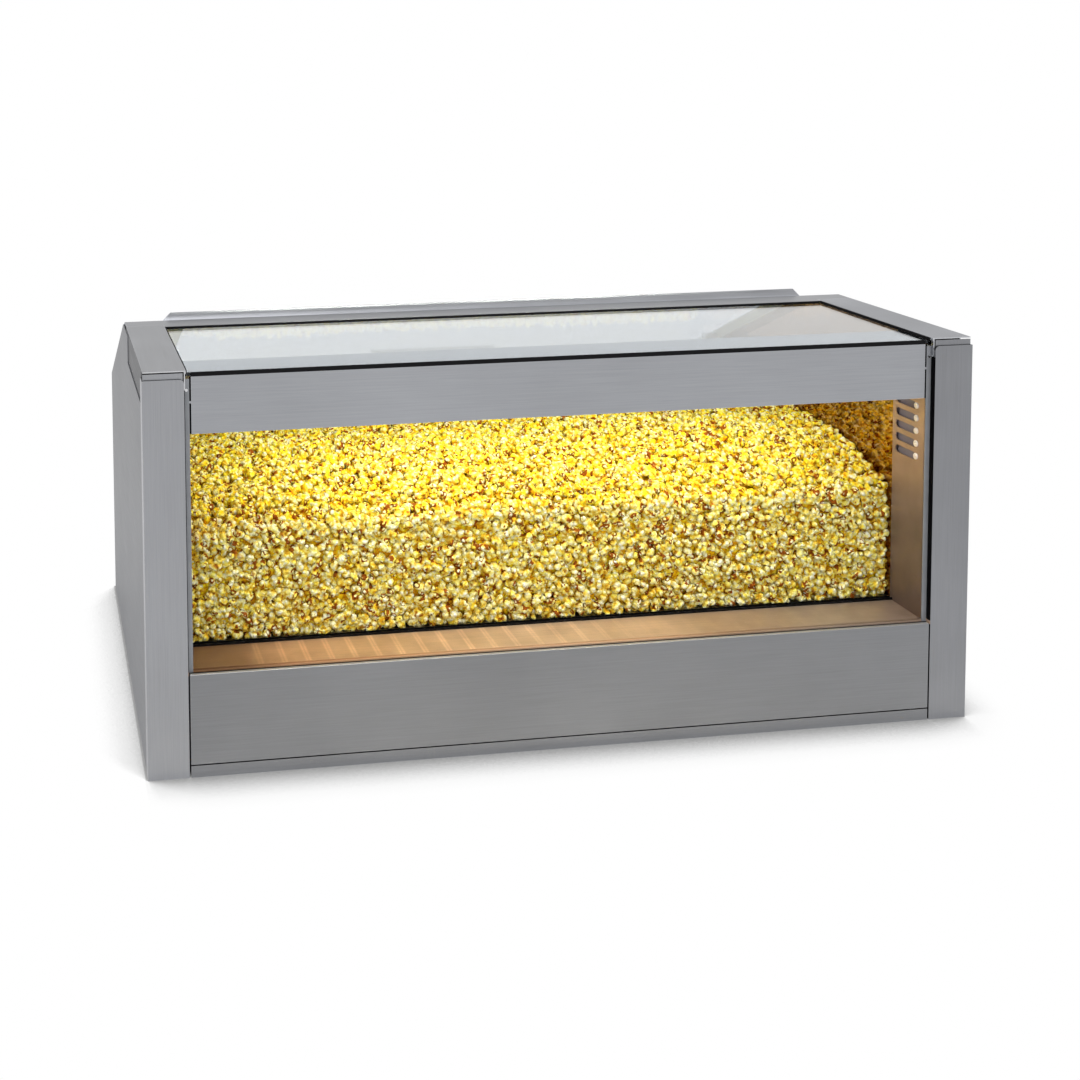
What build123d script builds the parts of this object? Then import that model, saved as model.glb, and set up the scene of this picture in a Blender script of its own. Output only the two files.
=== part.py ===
from build123d import *
import math
import os

# Popcorn staging cabinet for a shop counter, in millimetres.
# X runs along the cabinet, +Y from the customer's side to the staff's side, +Z up.
# The origin is the centre of the footprint, on the counter.

# Envelope
WIDTH = 1219.0
DEPTH = 711.0
RAIL_TOP = 572.0  # top of the rails that frame the top glass
TOP_DEPTH = 348.0  # front to the fold where the top turns down
REAR_HEIGHT = 404.0  # top of the upright rear
SHEET = 1.5  # stainless sheet
SEAM = 0.3  # gap where two pieces lie side by side
CUT = 1.0  # how far a cutting tool passes the face that it cuts

# Front posts and the double-walled ends
POST_WIDTH = 58.0
POST_BELOW_RAIL = 11.5  # top of the rail to the top of the post's face
POST_DEPTH = 25.0
POST_CORNER = 6.0
POST_CAP_LAP = 10.0
POST_CAP_GAP = 1.8  # dark slot under the rail
WALL_INSET = 59.0  # outer face to the inner wall's outer face
SIDE_BELOW_RAIL = 6.0
NOTCH_TO_FOLD = 78.0  # rear end of the side's notch to the fold
NOTCH_HEIGHT = 42.0
SIDE_RETURN = 18.0
FLANGE_BELOW_NOTCH = 6.0
SEAL_THICK = 0.9
SEAL_SETBACK = 0.5

# Valance, glass and trims at the front
FRONT_RECESS = 9.0
TRIM_WIDTH = 8.0
VALANCE_GAP = 2.5
VALANCE_HEIGHT = 80.0
VALANCE_FLANGE = 76.0
TAB_HEIGHT = 3.0
TAB_BELOW_TOP = 37.0
FRONT_GLASS = 5.0
GLASS_BEHIND_VALANCE = 16.0
GASKET_LIP = 2.0
GASKET_FLOOR = 1.5
GASKET_REAR = 1.5

# Top glass, rails and rear strip
TOP_GLASS = 6.0
GLASS_BELOW_RAIL = 4.0
RAIL_LAP = 10.0  # how far the rails cover the glass
RAIL_WIDTH = 61.0  # outer face of the cabinet to the rail's inner edge
RAIL_SETBACK = 3.0
RAIL_TONGUE = 5.5  # width of the tongue that hangs between trim and post
RAIL_TONGUE_DROP = 28.0
STRIP_TO_FOLD = 48.0  # the strip's front edge to the fold
RAIL_TO_FOLD = 34.0  # the rails' rear ends to the fold
STRIP_RETURN = 18.0
TOP_GASKET = 2.0
GASKET_BELOW_RAIL = 0.5
LIP_INSET = 64.5  # side of the cabinet to the end of the lip
LIP_AT = 14.0  # how far behind the fold the lip stands
LIP_HEIGHT = 9.7  # above the rails
LIP_SLANT = 12.0
LIP_FOOT = 9.0

# Base, lower front panel and deck
BASE_STRIP = 16.5
STRIP_SEAM = 2.0
PANEL_TOP = 146.0
PANEL_GAP = 2.4  # posts to the lower front panel
PANEL_BEND = 1.2
PAN_UPSTAND = 20.0
PANEL_FOOT = 14.0
PANEL_LEDGE = 20.0  # front face to where the deck starts
DECK_SEAM = 0.8

# Inner glass and its channel
INNER_GLASS_FROM = 92.0  # front face to the inner glass
INNER_GLASS = 5.0
INNER_GLASS_HEIGHT = 172.0  # above the deck
CHANNEL_WALL = 1.5
CHANNEL_HEIGHT = 3.5

# Floor of the bin
FLOOR_SHEET = 2.0
LEDGE_WIDTH = 16.0
FLOOR_SLOT = 16.0
FLOOR_SLOT_WIDTH = 7.0
FLOOR_SLOT_PITCH = 26.0
FLOOR_MARGIN = 22.0
BAY_HALF = 148.5  # middle of the cabinet to the divider's near face
DIVIDER_FLANGE = 20.0

# Air slots in the inner walls, with a button-head stud at the front end of each
SLOT_FROM = 40.0
SLOT_TO = 89.5
SLOT_WIDTH = 11.5
SLOT_TOP_DROP = 61.3  # top of the wall to the highest slot
SLOT_PITCH = 19.2
SLOT_COUNT = 7
STUD_FROM = 38.5
STUD_LIFT = 0.8
STUD_RADIUS = 4.8
STUD_HEIGHT = 2.2
STUD_DIMPLE = 1.6

# Sloping rear opening and its lid
SLOPE_EDGE = 1.0  # the sloping plate stops this short of the folds
OPENING_INSET = 103.0
OPENING_FROM = 60.0
OPENING_END_LEDGE = 35.0
LID_LAP = 12.0
LID_PANE = 6.0
LID_LIFT = 0.3
LID_TOP_EDGE = 46.0
HINGE_AT = 40.0
HINGE_RISE = 7.0
HINGE_END = 86.5  # side of the opening to the outer hinges
KNUCKLE_RADIUS = 3.5
KNUCKLE_LENGTH = 20.0
HINGE_PIN_RADIUS = 1.5
HINGE_PIN_HEAD = 2.4
HINGE_PIN_HEAD_THICK = 1.2
HINGE_PLAY = 0.05
LEAF = 1.5
FRAME_LEAF_LENGTH = 20.0
LID_LEAF_LENGTH = 30.0
LID_PULL_LENGTH = 240.0
LID_PULL_LAP = 24.0
LID_PULL_RISE = 12.0
LID_PULL_SHEET = 1.8
REST_BLOCK_TO_END = 83.0
REST_BLOCK = 12.0

# Rear panels and drawers
REAR_RECESS = 34.0  # how far the controls and drawer fronts stand back
REAR_STEP = 2.5  # the side panels wrap this far past the rear panel
DRAWER_INNER = 160.0  # middle of the cabinet to the drawer opening
DRAWER_END_GAP = 11.0  # drawer opening to the inner wall
DRAWER_SILL = 20.0
DRAWER_HEAD = 18.0  # drawer opening to the bin's floor
DRAWER_TOP_GAP = 24.0
DRAWER_SIDE_GAP = 4.0
DRAWER_END_SPACE = 58.0  # deck to the drawer's closed end
DRAWER_SHEET = 1.2
DRAWER_FRONT_LAP = 7.0
DRAWER_HANDLE_LENGTH = 120.0
HANDLE_REACH = 26.0
HANDLE_ROD = 5.0
HANDLE_BEND = 11.0
HANDLE_FOOT_RADIUS = 8.0
HANDLE_FOOT = 2.0
RUNNER_LEDGE = 16.0
RUNNER_HEIGHT = 26.0
RUNNER_GAP = 0.3

# Control panel, with the switches, thermostat, pilot lamp and inlet
CONTROL_HALF = 128.0
CONTROL_LOW = 16.0
CONTROL_BELOW_FLOOR = 8.0
CONTROL_LAP = 10.0
HOLE_PLAY = 0.1
SWITCH_LEVEL = 104.0
SWITCH_AT = (-92.0, -44.0, 4.0)
SWITCH_NAMES = ("power", "blower", "light")
SWITCH_HALF_WIDTH = 9.0
SWITCH_HALF_HEIGHT = 13.5
SWITCH_BEZEL = 3.0
SWITCH_BEZEL_THICK = 2.0
SWITCH_DEPTH = 26.0
SWITCH_WELL = 10.0
SWITCH_WALL = 2.0
TERMINAL_PITCH = 6.0
TERMINAL_LENGTH = 8.0
TERMINAL_HALF_WIDTH = 3.0
TERMINAL_HALF_THICK = 0.5
ROCKER_TILT = 10.0
ROCKER_END_GAP = 1.5
ROCKER_RISE = 6.5
ROCKER_WAIST = 3.6
ROCKER_BACK = 4.5
ROCKER_TAPER = 2.5
ROCKER_PIN = 1.5
ROCKER_PIN_PLAY = 0.05
ROCKER_SIDE_GAP = 0.3
THERMOSTAT_AT = 84.0
THERMOSTAT_LEVEL = 98.0
THERMOSTAT_HALF_WIDTH = 20.0
THERMOSTAT_HALF_HEIGHT = 18.0
THERMOSTAT_DEPTH = 35.0
THERMOSTAT_GAP = 1.0
NUT_RADIUS = 10.0
BUSHING_RADIUS = 6.0
BUSHING_REACH = 4.0
KNOB_RADIUS = 19.0
KNOB_LENGTH = 20.0
KNOB_GAP = 0.5
KNOB_BEVEL = 1.5
KNOB_WALL = 4.0
KNOB_HOLLOW = 6.0
FLUTE_COUNT = 18
FLUTE_RADIUS = 1.6
FLUTE_FROM = 4.0
POINTER_HALF_WIDTH = 0.7
POINTER_DEPTH = 0.8
POINTER_FROM = 5.0
SPINDLE_RADIUS = 3.0
SPINDLE_LENGTH = 22.0
SPINDLE_END_GAP = 2.0
SPINDLE_PLAY = 0.05
PILOT_AT = 4.0
PILOT_LEVEL = 52.0
PILOT_RADIUS = 6.0
PILOT_DEPTH = 22.0
PILOT_RIM = 2.0
INLET_AT = -84.0
INLET_LEVEL = 48.0
INLET_HALF_WIDTH = 22.0
INLET_HALF_HEIGHT = 15.0
INLET_DEPTH = 26.0
INLET_WALL = 5.0
INLET_WELL = 18.0
INLET_FLANGE = 5.0
INLET_FLANGE_THICK = 3.0
INLET_PINS = ((-9.0, -3.0), (9.0, -3.0), (0.0, 5.0))
INLET_PIN_HALF_WIDTH = 1.0
INLET_PIN_HALF_HEIGHT = 3.0
INLET_PIN_RECESS = 7.0

# Lamps behind the valance, and their driver under the deck
LAMP_AT = 222.0
LAMP_LENGTH = 360.0
LAMP_FROM = 35.0
LAMP_WIDTH = 30.0
LAMP_HEIGHT = 14.0
LAMP_WALL = 1.6
LED_COUNT = 9
LED_PITCH = 40.0
LED_SIZE = 5.0
LED_THICK = 2.0
LENS_THICK = 1.5
DRIVER_LEFT = -110.0
DRIVER_LENGTH = 170.0
DRIVER_FROM = 40.0
DRIVER_WIDTH = 44.0
DRIVER_HEIGHT = 32.0
DRIVER_GROOVES = 7
DRIVER_GROOVE_WIDTH = 2.4
DRIVER_GROOVE_DEPTH = 4.0
DRIVER_EDGE = 6.0

# Blower and heater in the middle bay
BLOWER_BACK = 190.0  # rear face to the blower's axis
BLOWER_HEADROOM = 10.5
BLOWER_FEET = 12.5  # base pan to the underside of the drum
SCROLL_HALF = 30.0
SCROLL_WALL = 1.5
SCROLL_INLET = 34.0
FOOT_HALF = 40.0
FOOT_SHEET = 2.0
FOOT_LEG_HALF = 30.0
FOOT_LEG_LAP = 20.0
DUCT_HEIGHT = 50.0
DUCT_REACH = 95.0
WHEEL_GAP = 12.0  # wheel to the drum
WHEEL_HALF = 20.0
BLADE_COUNT = 24
BLADE_CHORD = 10.0
BLADE_THICK = 1.2
BLADE_LEAN = 12.0
HUB_RADIUS = 8.0
HUB_PLAY = 1.0
SHAFT_RADIUS = 4.0
SHAFT_PLAY = 0.05
SHAFT_END_GAP = 1.0
MOTOR_RADIUS = 30.0
MOTOR_LENGTH = 50.0
MOTOR_END = 10.0
MOTOR_ROUNDING = 4.0
HEATER_LENGTH = 170.0
HEATER_ROD = 4.0
HEATER_ROD_PITCH = 14.0
HEATER_END = 10.0
HEATER_STRAP_FRONT = 20.0
HEATER_STRAP_REAR = 30.0
FIN_PITCH = 12.0
FIN_THICK = 1.0
FIN_HALF_WIDTH = 22.0
FIN_HALF_HEIGHT = 12.0
PLATE_THICK = 2.0
PLATE_HALF_HEIGHT = 8.0

# Popcorn heap: distances behind the inner glass, or in front of the rear panel, and heights
# over the inner glass
HEAP_FRONT = ((0.0, -6.0), (14.0, 8.0), (74.0, 32.0), (144.0, 51.0), (304.0, 58.0))
HEAP_BACK = ((110.0, 50.0), (0.0, 26.0))
HEAP_GAP = 0.3
HEAP_LUMP = 9.0
HEAP_PITCH = 67.0  # between the lumps on its top

# Screws
SCREW_HEAD = 3.8
SCREW_HEAD_HEIGHT = 2.0
SCREW_ROUNDING = 0.9
SCREW_CROSS = 2.1
SCREW_CROSS_WIDTH = 0.8
SCREW_CROSS_DEPTH = 0.9
SCREW_SHANK = 2.0
SCREW_HOLE_PLAY = 0.1
SCREW_LENGTH = 7.0
PANEL_SCREW_EDGE = 30.0

FRONT = -DEPTH / 2
REAR = DEPTH / 2
HALF = WIDTH / 2
FOLD = FRONT + TOP_DEPTH
POST_HEIGHT = RAIL_TOP - POST_BELOW_RAIL
SIDE_TOP = RAIL_TOP - SIDE_BELOW_RAIL
GLASS_TOP_LEVEL = RAIL_TOP - GLASS_BELOW_RAIL
VALANCE_TOP = GLASS_TOP_LEVEL - TOP_GLASS
VALANCE_BOTTOM = VALANCE_TOP - VALANCE_HEIGHT
TAB_LEVEL = VALANCE_TOP - TAB_BELOW_TOP
INNER_GLASS_TOP = PANEL_TOP + INNER_GLASS_HEIGHT
WALL_OUT = HALF - WALL_INSET
WALL_IN = WALL_OUT - SHEET
POST_IN = HALF - POST_WIDTH
TRIM_IN = POST_IN - TRIM_WIDTH
VALANCE_FACE = FRONT + FRONT_RECESS
VALANCE_HALF = TRIM_IN - VALANCE_GAP
GLASS_FACE = VALANCE_FACE + SHEET
GLASS_REAR = GLASS_FACE + FRONT_GLASS
WALL_FRONT = FRONT + PANEL_LEDGE
RAIL_IN = HALF - RAIL_WIDTH
RAIL_REAR = FOLD - RAIL_TO_FOLD
STRIP_FRONT = FOLD - STRIP_TO_FOLD
TONGUE_BOTTOM = RAIL_TOP - RAIL_TONGUE_DROP
FLOOR_LEVEL = PANEL_TOP
FLOOR_TOP = FLOOR_LEVEL + FLOOR_SHEET
REAR_SILL = FLOOR_LEVEL - SHEET
INNER_GLASS_FACE = FRONT + INNER_GLASS_FROM
INNER_GLASS_REAR = INNER_GLASS_FACE + INNER_GLASS
CHANNEL_FRONT = INNER_GLASS_FACE - CHANNEL_WALL
CHANNEL_REAR = INNER_GLASS_REAR + CHANNEL_WALL
REAR_PLANE = REAR - REAR_RECESS
REAR_FACE = REAR - REAR_STEP
BIN_REAR = REAR_FACE - SHEET
CONTROL_FACE = REAR_PLANE + SHEET
CONTROL_HIGH = FLOOR_LEVEL - CONTROL_BELOW_FLOOR

DRAWER_OPENING = WALL_IN - DRAWER_END_GAP - DRAWER_INNER
DRAWER_OPENING_HEIGHT = FLOOR_LEVEL - DRAWER_HEAD - DRAWER_SILL
DRAWER_HEIGHT = DRAWER_OPENING_HEIGHT - DRAWER_TOP_GAP
DRAWER_MIDDLE = DRAWER_INNER + DRAWER_OPENING / 2
DRAWER_DEPTH = REAR_PLANE - CHANNEL_REAR - DRAWER_END_SPACE

BLOWER_AXIS = REAR - BLOWER_BACK
SCROLL_RADIUS = (REAR_SILL - BLOWER_HEADROOM - SHEET - BLOWER_FEET) / 2
BLOWER_LEVEL = REAR_SILL - BLOWER_HEADROOM - SCROLL_RADIUS
WHEEL_RADIUS = SCROLL_RADIUS - WHEEL_GAP
DUCT_HIGH = BLOWER_LEVEL + SCROLL_RADIUS
DUCT_LOW = DUCT_HIGH - DUCT_HEIGHT
DUCT_FRONT = BLOWER_AXIS - DUCT_REACH
HEATER_FRONT = DUCT_FRONT - HEATER_LENGTH

SLOPE_RUN = DEPTH - TOP_DEPTH
SLOPE_DROP = RAIL_TOP - REAR_HEIGHT
SLOPE_LENGTH = math.hypot(SLOPE_RUN, SLOPE_DROP)
SLOPE_COS = SLOPE_RUN / SLOPE_LENGTH
SLOPE = Plane(
    origin=(0, FOLD, RAIL_TOP),
    x_dir=(1, 0, 0),
    z_dir=(0, SLOPE_DROP / SLOPE_LENGTH, SLOPE_COS),
)
OPENING_HALF = HALF - OPENING_INSET
OPENING_TO = SLOPE_LENGTH - OPENING_END_LEDGE
LID_END = OPENING_TO + LID_LAP
LID_TOP = LID_LIFT + LID_PANE
HINGE_SPREAD = OPENING_HALF - HINGE_END
HINGE_PLACES = (-HINGE_SPREAD, 0.0, HINGE_SPREAD)

REARWARD = Rot(-90, 0, 0)
FORWARD = Rot(90, 0, 0)

parts = {}


def block(x0, x1, y0, y1, z0, z1):
    """A box between two corners."""
    return Pos((x0 + x1) / 2, (y0 + y1) / 2, (z0 + z1) / 2) * Box(x1 - x0, y1 - y0, z1 - z0)


def both_sides(solid):
    """The solid and its mirror image across the middle of the cabinet."""
    return solid, mirror(solid, about=Plane.YZ)


def group(solids):
    """Several separate solids kept as one node."""
    return Compound(children=[s for item in solids for s in item.solids()])


def side_plate(outline, x0, x1):
    """A flat plate with an outline in Y and Z, from x0 to x1."""
    return Pos(x0, 0, 0) * extrude(Plane.YZ * Polygon(*outline, align=None), x1 - x0)


def front_plate(sketch, y0, y1):
    """A flat plate with an outline in X and Z, from y0 back to y1."""
    return Pos(0, y1, 0) * extrude(Plane.XZ * sketch, y1 - y0)


def rod_x(radius, x0, x1, y, z):
    """A round bar along X."""
    return Pos((x0 + x1) / 2, y, z) * Rot(0, 90, 0) * Cylinder(radius, x1 - x0)


def rod_y(radius, y0, y1, x, z):
    """A round bar along Y."""
    return Pos(x, (y0 + y1) / 2, z) * Rot(90, 0, 0) * Cylinder(radius, y1 - y0)


def slope_line(y, below=0.0):
    """Height of the sloping top at y, or of a plane that far below it."""
    return RAIL_TOP - (y - FOLD) * SLOPE_DROP / SLOPE_RUN - below / SLOPE_COS


def screw():
    """A pan-head screw along +Z, its head's underside at the origin."""
    head = Pos(0, 0, SCREW_HEAD_HEIGHT / 2) * Cylinder(SCREW_HEAD, SCREW_HEAD_HEIGHT)
    head = fillet(head.edges().group_by(Axis.Z)[-1], SCREW_ROUNDING)
    for turn in (0, 90):
        cross = Rot(0, 0, turn) * Box(2 * SCREW_CROSS, SCREW_CROSS_WIDTH, 2 * SCREW_CROSS_DEPTH)
        head -= Pos(0, 0, SCREW_HEAD_HEIGHT) * cross
    return head + Pos(0, 0, -SCREW_LENGTH / 2) * Cylinder(SCREW_SHANK, SCREW_LENGTH)


def drill(solid, places, way):
    """The solid with a screw hole at each place; way turns +Z onto the screw's axis."""
    hole = way * Cylinder(SCREW_SHANK + SCREW_HOLE_PLAY, 4 * SCREW_LENGTH)
    for place in places:
        solid -= Pos(*place) * hole
    return solid


def base_pan():
    inner = HALF - SHEET
    front_half = POST_IN - PANEL_GAP
    rear = FRONT + POST_DEPTH
    pan = block(-inner, inner, rear, REAR, 0, SHEET)
    pan += block(-front_half, front_half, FRONT, rear, 0, SHEET)
    pan += block(-front_half, front_half, FRONT, FRONT + SHEET, 0, BASE_STRIP)
    for upstand in both_sides(block(inner - SHEET, inner, rear, REAR_PLANE - SHEET, 0, PAN_UPSTAND)):
        pan += upstand
    return pan


def side_outline(top, below):
    """Outline of an end wall from its front edge: flat top, slope, upright rear."""
    fold = FOLD + (RAIL_TOP - top - below / SLOPE_COS) * SLOPE_RUN / SLOPE_DROP
    return fold, slope_line(REAR, below)


def right_side_panel():
    front = FRONT + POST_DEPTH
    fold, rear_top = side_outline(SIDE_TOP, 0)
    notch_floor = SIDE_TOP - NOTCH_HEIGHT
    notch_rear = FOLD - NOTCH_TO_FOLD
    outline = (
        (front, 0),
        (REAR, 0),
        (REAR, rear_top),
        (fold, SIDE_TOP),
        (notch_rear, SIDE_TOP),
        (notch_rear, notch_floor),
        (front, notch_floor),
    )
    inner = HALF - SHEET
    panel = side_plate(outline, inner, HALF)
    return_top = rear_top - 2 * SHEET
    panel += block(inner - SIDE_RETURN, HALF, BIN_REAR - SHEET, BIN_REAR, FLOOR_LEVEL, return_top)
    return drill(panel, [p for p in rear_panel_screw_places() if p[0] > 0], REARWARD)


def right_front_post():
    face = Rectangle(POST_WIDTH, POST_HEIGHT, align=(Align.MIN, Align.MIN))
    face = fillet(face.vertices().group_by(Axis.Y)[-1].sort_by(Axis.X)[:1], POST_CORNER)
    post = front_plate(Pos(POST_IN, 0) * face, FRONT, FRONT + SHEET)
    post += block(HALF - SHEET, HALF, FRONT, FRONT + POST_DEPTH, 0, POST_HEIGHT)
    post += block(POST_IN, POST_IN + SHEET, FRONT + SHEET, FRONT + POST_DEPTH, 0, POST_HEIGHT - POST_CORNER)
    face = FRONT + RAIL_SETBACK
    low, high = POST_HEIGHT - POST_CAP_LAP, RAIL_TOP - SHEET - POST_CAP_GAP
    return post + block(POST_IN + SHEET, HALF - SHEET, face, face + SHEET, low, high)


def right_inner_wall():
    below = SHEET
    fold, rear_top = side_outline(VALANCE_TOP, below)
    outline = (
        (WALL_FRONT, SHEET),
        (REAR_PLANE - SHEET, SHEET),
        (REAR_PLANE - SHEET, FLOOR_LEVEL),
        (BIN_REAR, FLOOR_LEVEL),
        (BIN_REAR, slope_line(BIN_REAR, below)),
        (fold, VALANCE_TOP),
        (WALL_FRONT, VALANCE_TOP),
    )
    wall = side_plate(outline, WALL_IN, WALL_OUT)
    middle = FRONT + (SLOT_FROM + SLOT_TO) / 2
    for i in range(SLOT_COUNT):
        slot = Pos(middle, slot_level(i)) * SlotOverall(SLOT_TO - SLOT_FROM, SLOT_WIDTH)
        wall -= Pos(WALL_IN - SHEET, 0, 0) * extrude(Plane.YZ * slot, 3 * SHEET)
    return wall


def slot_level(i):
    return VALANCE_TOP - SLOT_TOP_DROP - i * SLOT_PITCH


def slot_studs():
    """Polished button heads on the inner walls, each with a dimple in its face."""
    stud = Cylinder(STUD_RADIUS, STUD_HEIGHT)
    stud = fillet(stud.edges().group_by(Axis.Z)[-1], STUD_DIMPLE)
    stud -= Pos(0, 0, STUD_HEIGHT / 2) * Sphere(STUD_DIMPLE)
    stud = Pos(WALL_IN - STUD_HEIGHT / 2, FRONT + STUD_FROM, STUD_LIFT) * Rot(0, -90, 0) * stud
    return group(s for i in range(SLOT_COUNT) for s in both_sides(Pos(0, 0, slot_level(i)) * stud))


def right_top_rail():
    outer = HALF - SHEET
    front = FRONT + RAIL_SETBACK
    rail = block(RAIL_IN, outer, front, RAIL_REAR, RAIL_TOP - SHEET, RAIL_TOP)
    rail += block(RAIL_IN, RAIL_IN + SHEET, front, STRIP_FRONT, GLASS_TOP_LEVEL, RAIL_TOP)
    flange_low = SIDE_TOP - NOTCH_HEIGHT - FLANGE_BELOW_NOTCH
    rail += block(outer - SHEET, outer, FRONT + POST_DEPTH + SEAM, RAIL_REAR, flange_low, RAIL_TOP)
    tongue_out = POST_IN - SEAM
    tongue_end = TONGUE_BOTTOM + RAIL_TONGUE / 2
    tongue = block(tongue_out - SHEET, tongue_out, front, front + RAIL_TONGUE, tongue_end, RAIL_TOP)
    tongue += rod_x(RAIL_TONGUE / 2, tongue_out - SHEET, tongue_out, front + RAIL_TONGUE / 2, tongue_end)
    return rail + tongue


def rear_top_strip():
    outer = HALF - SHEET
    strip = block(-outer, outer, RAIL_REAR, FOLD, RAIL_TOP - SHEET, RAIL_TOP)
    strip += block(-RAIL_IN, RAIL_IN, STRIP_FRONT, RAIL_REAR, RAIL_TOP - SHEET, RAIL_TOP)
    strip += block(-RAIL_IN, RAIL_IN, STRIP_FRONT, STRIP_FRONT + SHEET, GLASS_TOP_LEVEL, RAIL_TOP)
    strip += block(-WALL_IN, WALL_IN, FOLD - SHEET, FOLD, RAIL_TOP - STRIP_RETURN, RAIL_TOP)
    return strip


def rear_lip():
    """Upstand behind the fold, on a foot that lies on the slope."""
    half = HALF - LIP_INSET
    face = FOLD + LIP_AT
    top = RAIL_TOP + LIP_HEIGHT
    outline = Polygon(
        (-half, slope_line(face)),
        (half, slope_line(face)),
        (half, top - LIP_SLANT),
        (half - LIP_SLANT, top),
        (LIP_SLANT - half, top),
        (-half, top - LIP_SLANT),
        align=None,
    )
    foot_end = (LIP_AT + SHEET) / SLOPE_COS
    foot = SLOPE * block(-half, half, foot_end - LIP_FOOT, foot_end, 0, SHEET)
    return front_plate(outline, face, face + SHEET) + foot


def top_glass():
    half = RAIL_IN + RAIL_LAP
    front, rear = VALANCE_FACE + GASKET_FLOOR, STRIP_FRONT + RAIL_LAP
    return block(-half, half, front, rear, VALANCE_TOP, GLASS_TOP_LEVEL)


def top_glass_gasket():
    low, high = GLASS_TOP_LEVEL, RAIL_TOP - GASKET_BELOW_RAIL
    front = VALANCE_FACE + GASKET_FLOOR
    inner = RAIL_IN - TOP_GASKET
    ring = block(-RAIL_IN, RAIL_IN, STRIP_FRONT - TOP_GASKET, STRIP_FRONT, low, high)
    for strip in both_sides(block(inner, RAIL_IN, front, STRIP_FRONT, low, high)):
        ring += strip
    edge = block(-VALANCE_HALF, VALANCE_HALF, VALANCE_FACE, front, VALANCE_TOP, GLASS_TOP_LEVEL)
    return group([ring, edge])


def front_valance():
    face = block(-VALANCE_HALF, VALANCE_HALF, VALANCE_FACE, GLASS_FACE, VALANCE_BOTTOM, VALANCE_TOP)
    tab = block(VALANCE_HALF, TRIM_IN, VALANCE_FACE, GLASS_FACE, TAB_LEVEL, TAB_LEVEL + TAB_HEIGHT)
    for side in both_sides(tab):
        face += side
    low, high = VALANCE_TOP - SHEET, VALANCE_TOP
    neck = block(-VALANCE_HALF, VALANCE_HALF, VALANCE_FACE, WALL_FRONT, low, high)
    return face + neck + block(-WALL_IN, WALL_IN, WALL_FRONT, VALANCE_FACE + VALANCE_FLANGE, low, high)


def front_glass():
    half = WALL_OUT - SEAM
    low = PANEL_TOP + GASKET_FLOOR
    return block(-half, half, GLASS_FACE, GLASS_REAR, low, VALANCE_BOTTOM + GLASS_BEHIND_VALANCE)


def front_seals():
    """Rubber under the front glass, in the gaps beside the valance and on the posts' inner faces."""
    half = TRIM_IN - SEAM
    strip = block(-half, half, VALANCE_FACE, GLASS_REAR + GASKET_REAR, PANEL_TOP, PANEL_TOP + GASKET_LIP)
    strip -= block(-HALF, HALF, GLASS_FACE, GLASS_REAR, PANEL_TOP + GASKET_FLOOR, RAIL_TOP)
    seals = [strip]
    face = VALANCE_FACE + SEAL_SETBACK
    for low, high in ((VALANCE_BOTTOM, TAB_LEVEL), (TAB_LEVEL + TAB_HEIGHT, VALANCE_TOP)):
        seals += both_sides(block(VALANCE_HALF, TRIM_IN, face, GLASS_FACE, low, high))
    face = FRONT + SEAL_SETBACK
    seals += both_sides(block(POST_IN - SEAL_THICK, POST_IN, face, VALANCE_FACE, SHEET, TONGUE_BOTTOM - SEAM))
    return group(seals)


def glass_trims():
    trim = block(TRIM_IN, POST_IN, VALANCE_FACE, GLASS_FACE, PANEL_TOP, POST_HEIGHT - SHEET)
    trim += block(WALL_OUT, POST_IN, GLASS_FACE, FRONT + POST_DEPTH, PANEL_TOP, POST_HEIGHT - SHEET)
    trim = drill(trim, [p for p in trim_screw_places() if p[0] > 0], FORWARD)
    return group(both_sides(trim))


def trim_screw_places():
    level = (TAB_LEVEL + VALANCE_TOP) / 2
    return [(side * (POST_IN - TRIM_WIDTH / 2), VALANCE_FACE, level) for side in (-1, 1)]


def lower_front_panel():
    half = POST_IN - PANEL_GAP
    low = BASE_STRIP + STRIP_SEAM
    panel = block(-half, half, FRONT, FRONT + SHEET, low, PANEL_TOP)
    panel += block(-half, half, FRONT, WALL_FRONT, PANEL_TOP - SHEET, PANEL_TOP)
    panel += block(-half, half, FRONT, FRONT + PANEL_FOOT, low, low + SHEET)
    corner = panel.edges().filter_by(Axis.X).sort_by(lambda e: e.center().Z - e.center().Y)[-1]
    return fillet(corner, PANEL_BEND)


def front_deck():
    half = WALL_IN - DECK_SEAM
    return block(-half, half, WALL_FRONT, CHANNEL_REAR, PANEL_TOP - SHEET, PANEL_TOP)


def inner_glass():
    half = WALL_IN - SEAM
    return block(-half, half, INNER_GLASS_FACE, INNER_GLASS_REAR, PANEL_TOP + CHANNEL_WALL, INNER_GLASS_TOP)


def inner_glass_channel():
    half = WALL_IN - SEAM
    low = PANEL_TOP + CHANNEL_WALL
    channel = block(-half, half, CHANNEL_FRONT, CHANNEL_REAR, PANEL_TOP, PANEL_TOP + CHANNEL_HEIGHT)
    return channel - block(-HALF, HALF, INNER_GLASS_FACE, INNER_GLASS_REAR, low, RAIL_TOP)


def floor_panel(x0, x1):
    """A lift-out floor sheet with rows of slots for crumbs and warm air."""
    y0, y1 = CHANNEL_REAR + SEAM, BIN_REAR - SEAM
    sheet = block(x0, x1, y0, y1, FLOOR_LEVEL, FLOOR_TOP)
    across = int((x1 - x0 - 2 * FLOOR_MARGIN) // FLOOR_SLOT_PITCH)
    along = int((y1 - y0 - 2 * FLOOR_MARGIN) // FLOOR_SLOT_PITCH)
    grid = GridLocations(FLOOR_SLOT_PITCH, FLOOR_SLOT_PITCH, across, along)
    slots = grid * SlotOverall(FLOOR_SLOT, FLOOR_SLOT_WIDTH)
    middle = Pos((x0 + x1) / 2, (y0 + y1) / 2, FLOOR_LEVEL)
    return sheet - middle * extrude(Sketch() + slots, FLOOR_SHEET)


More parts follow.
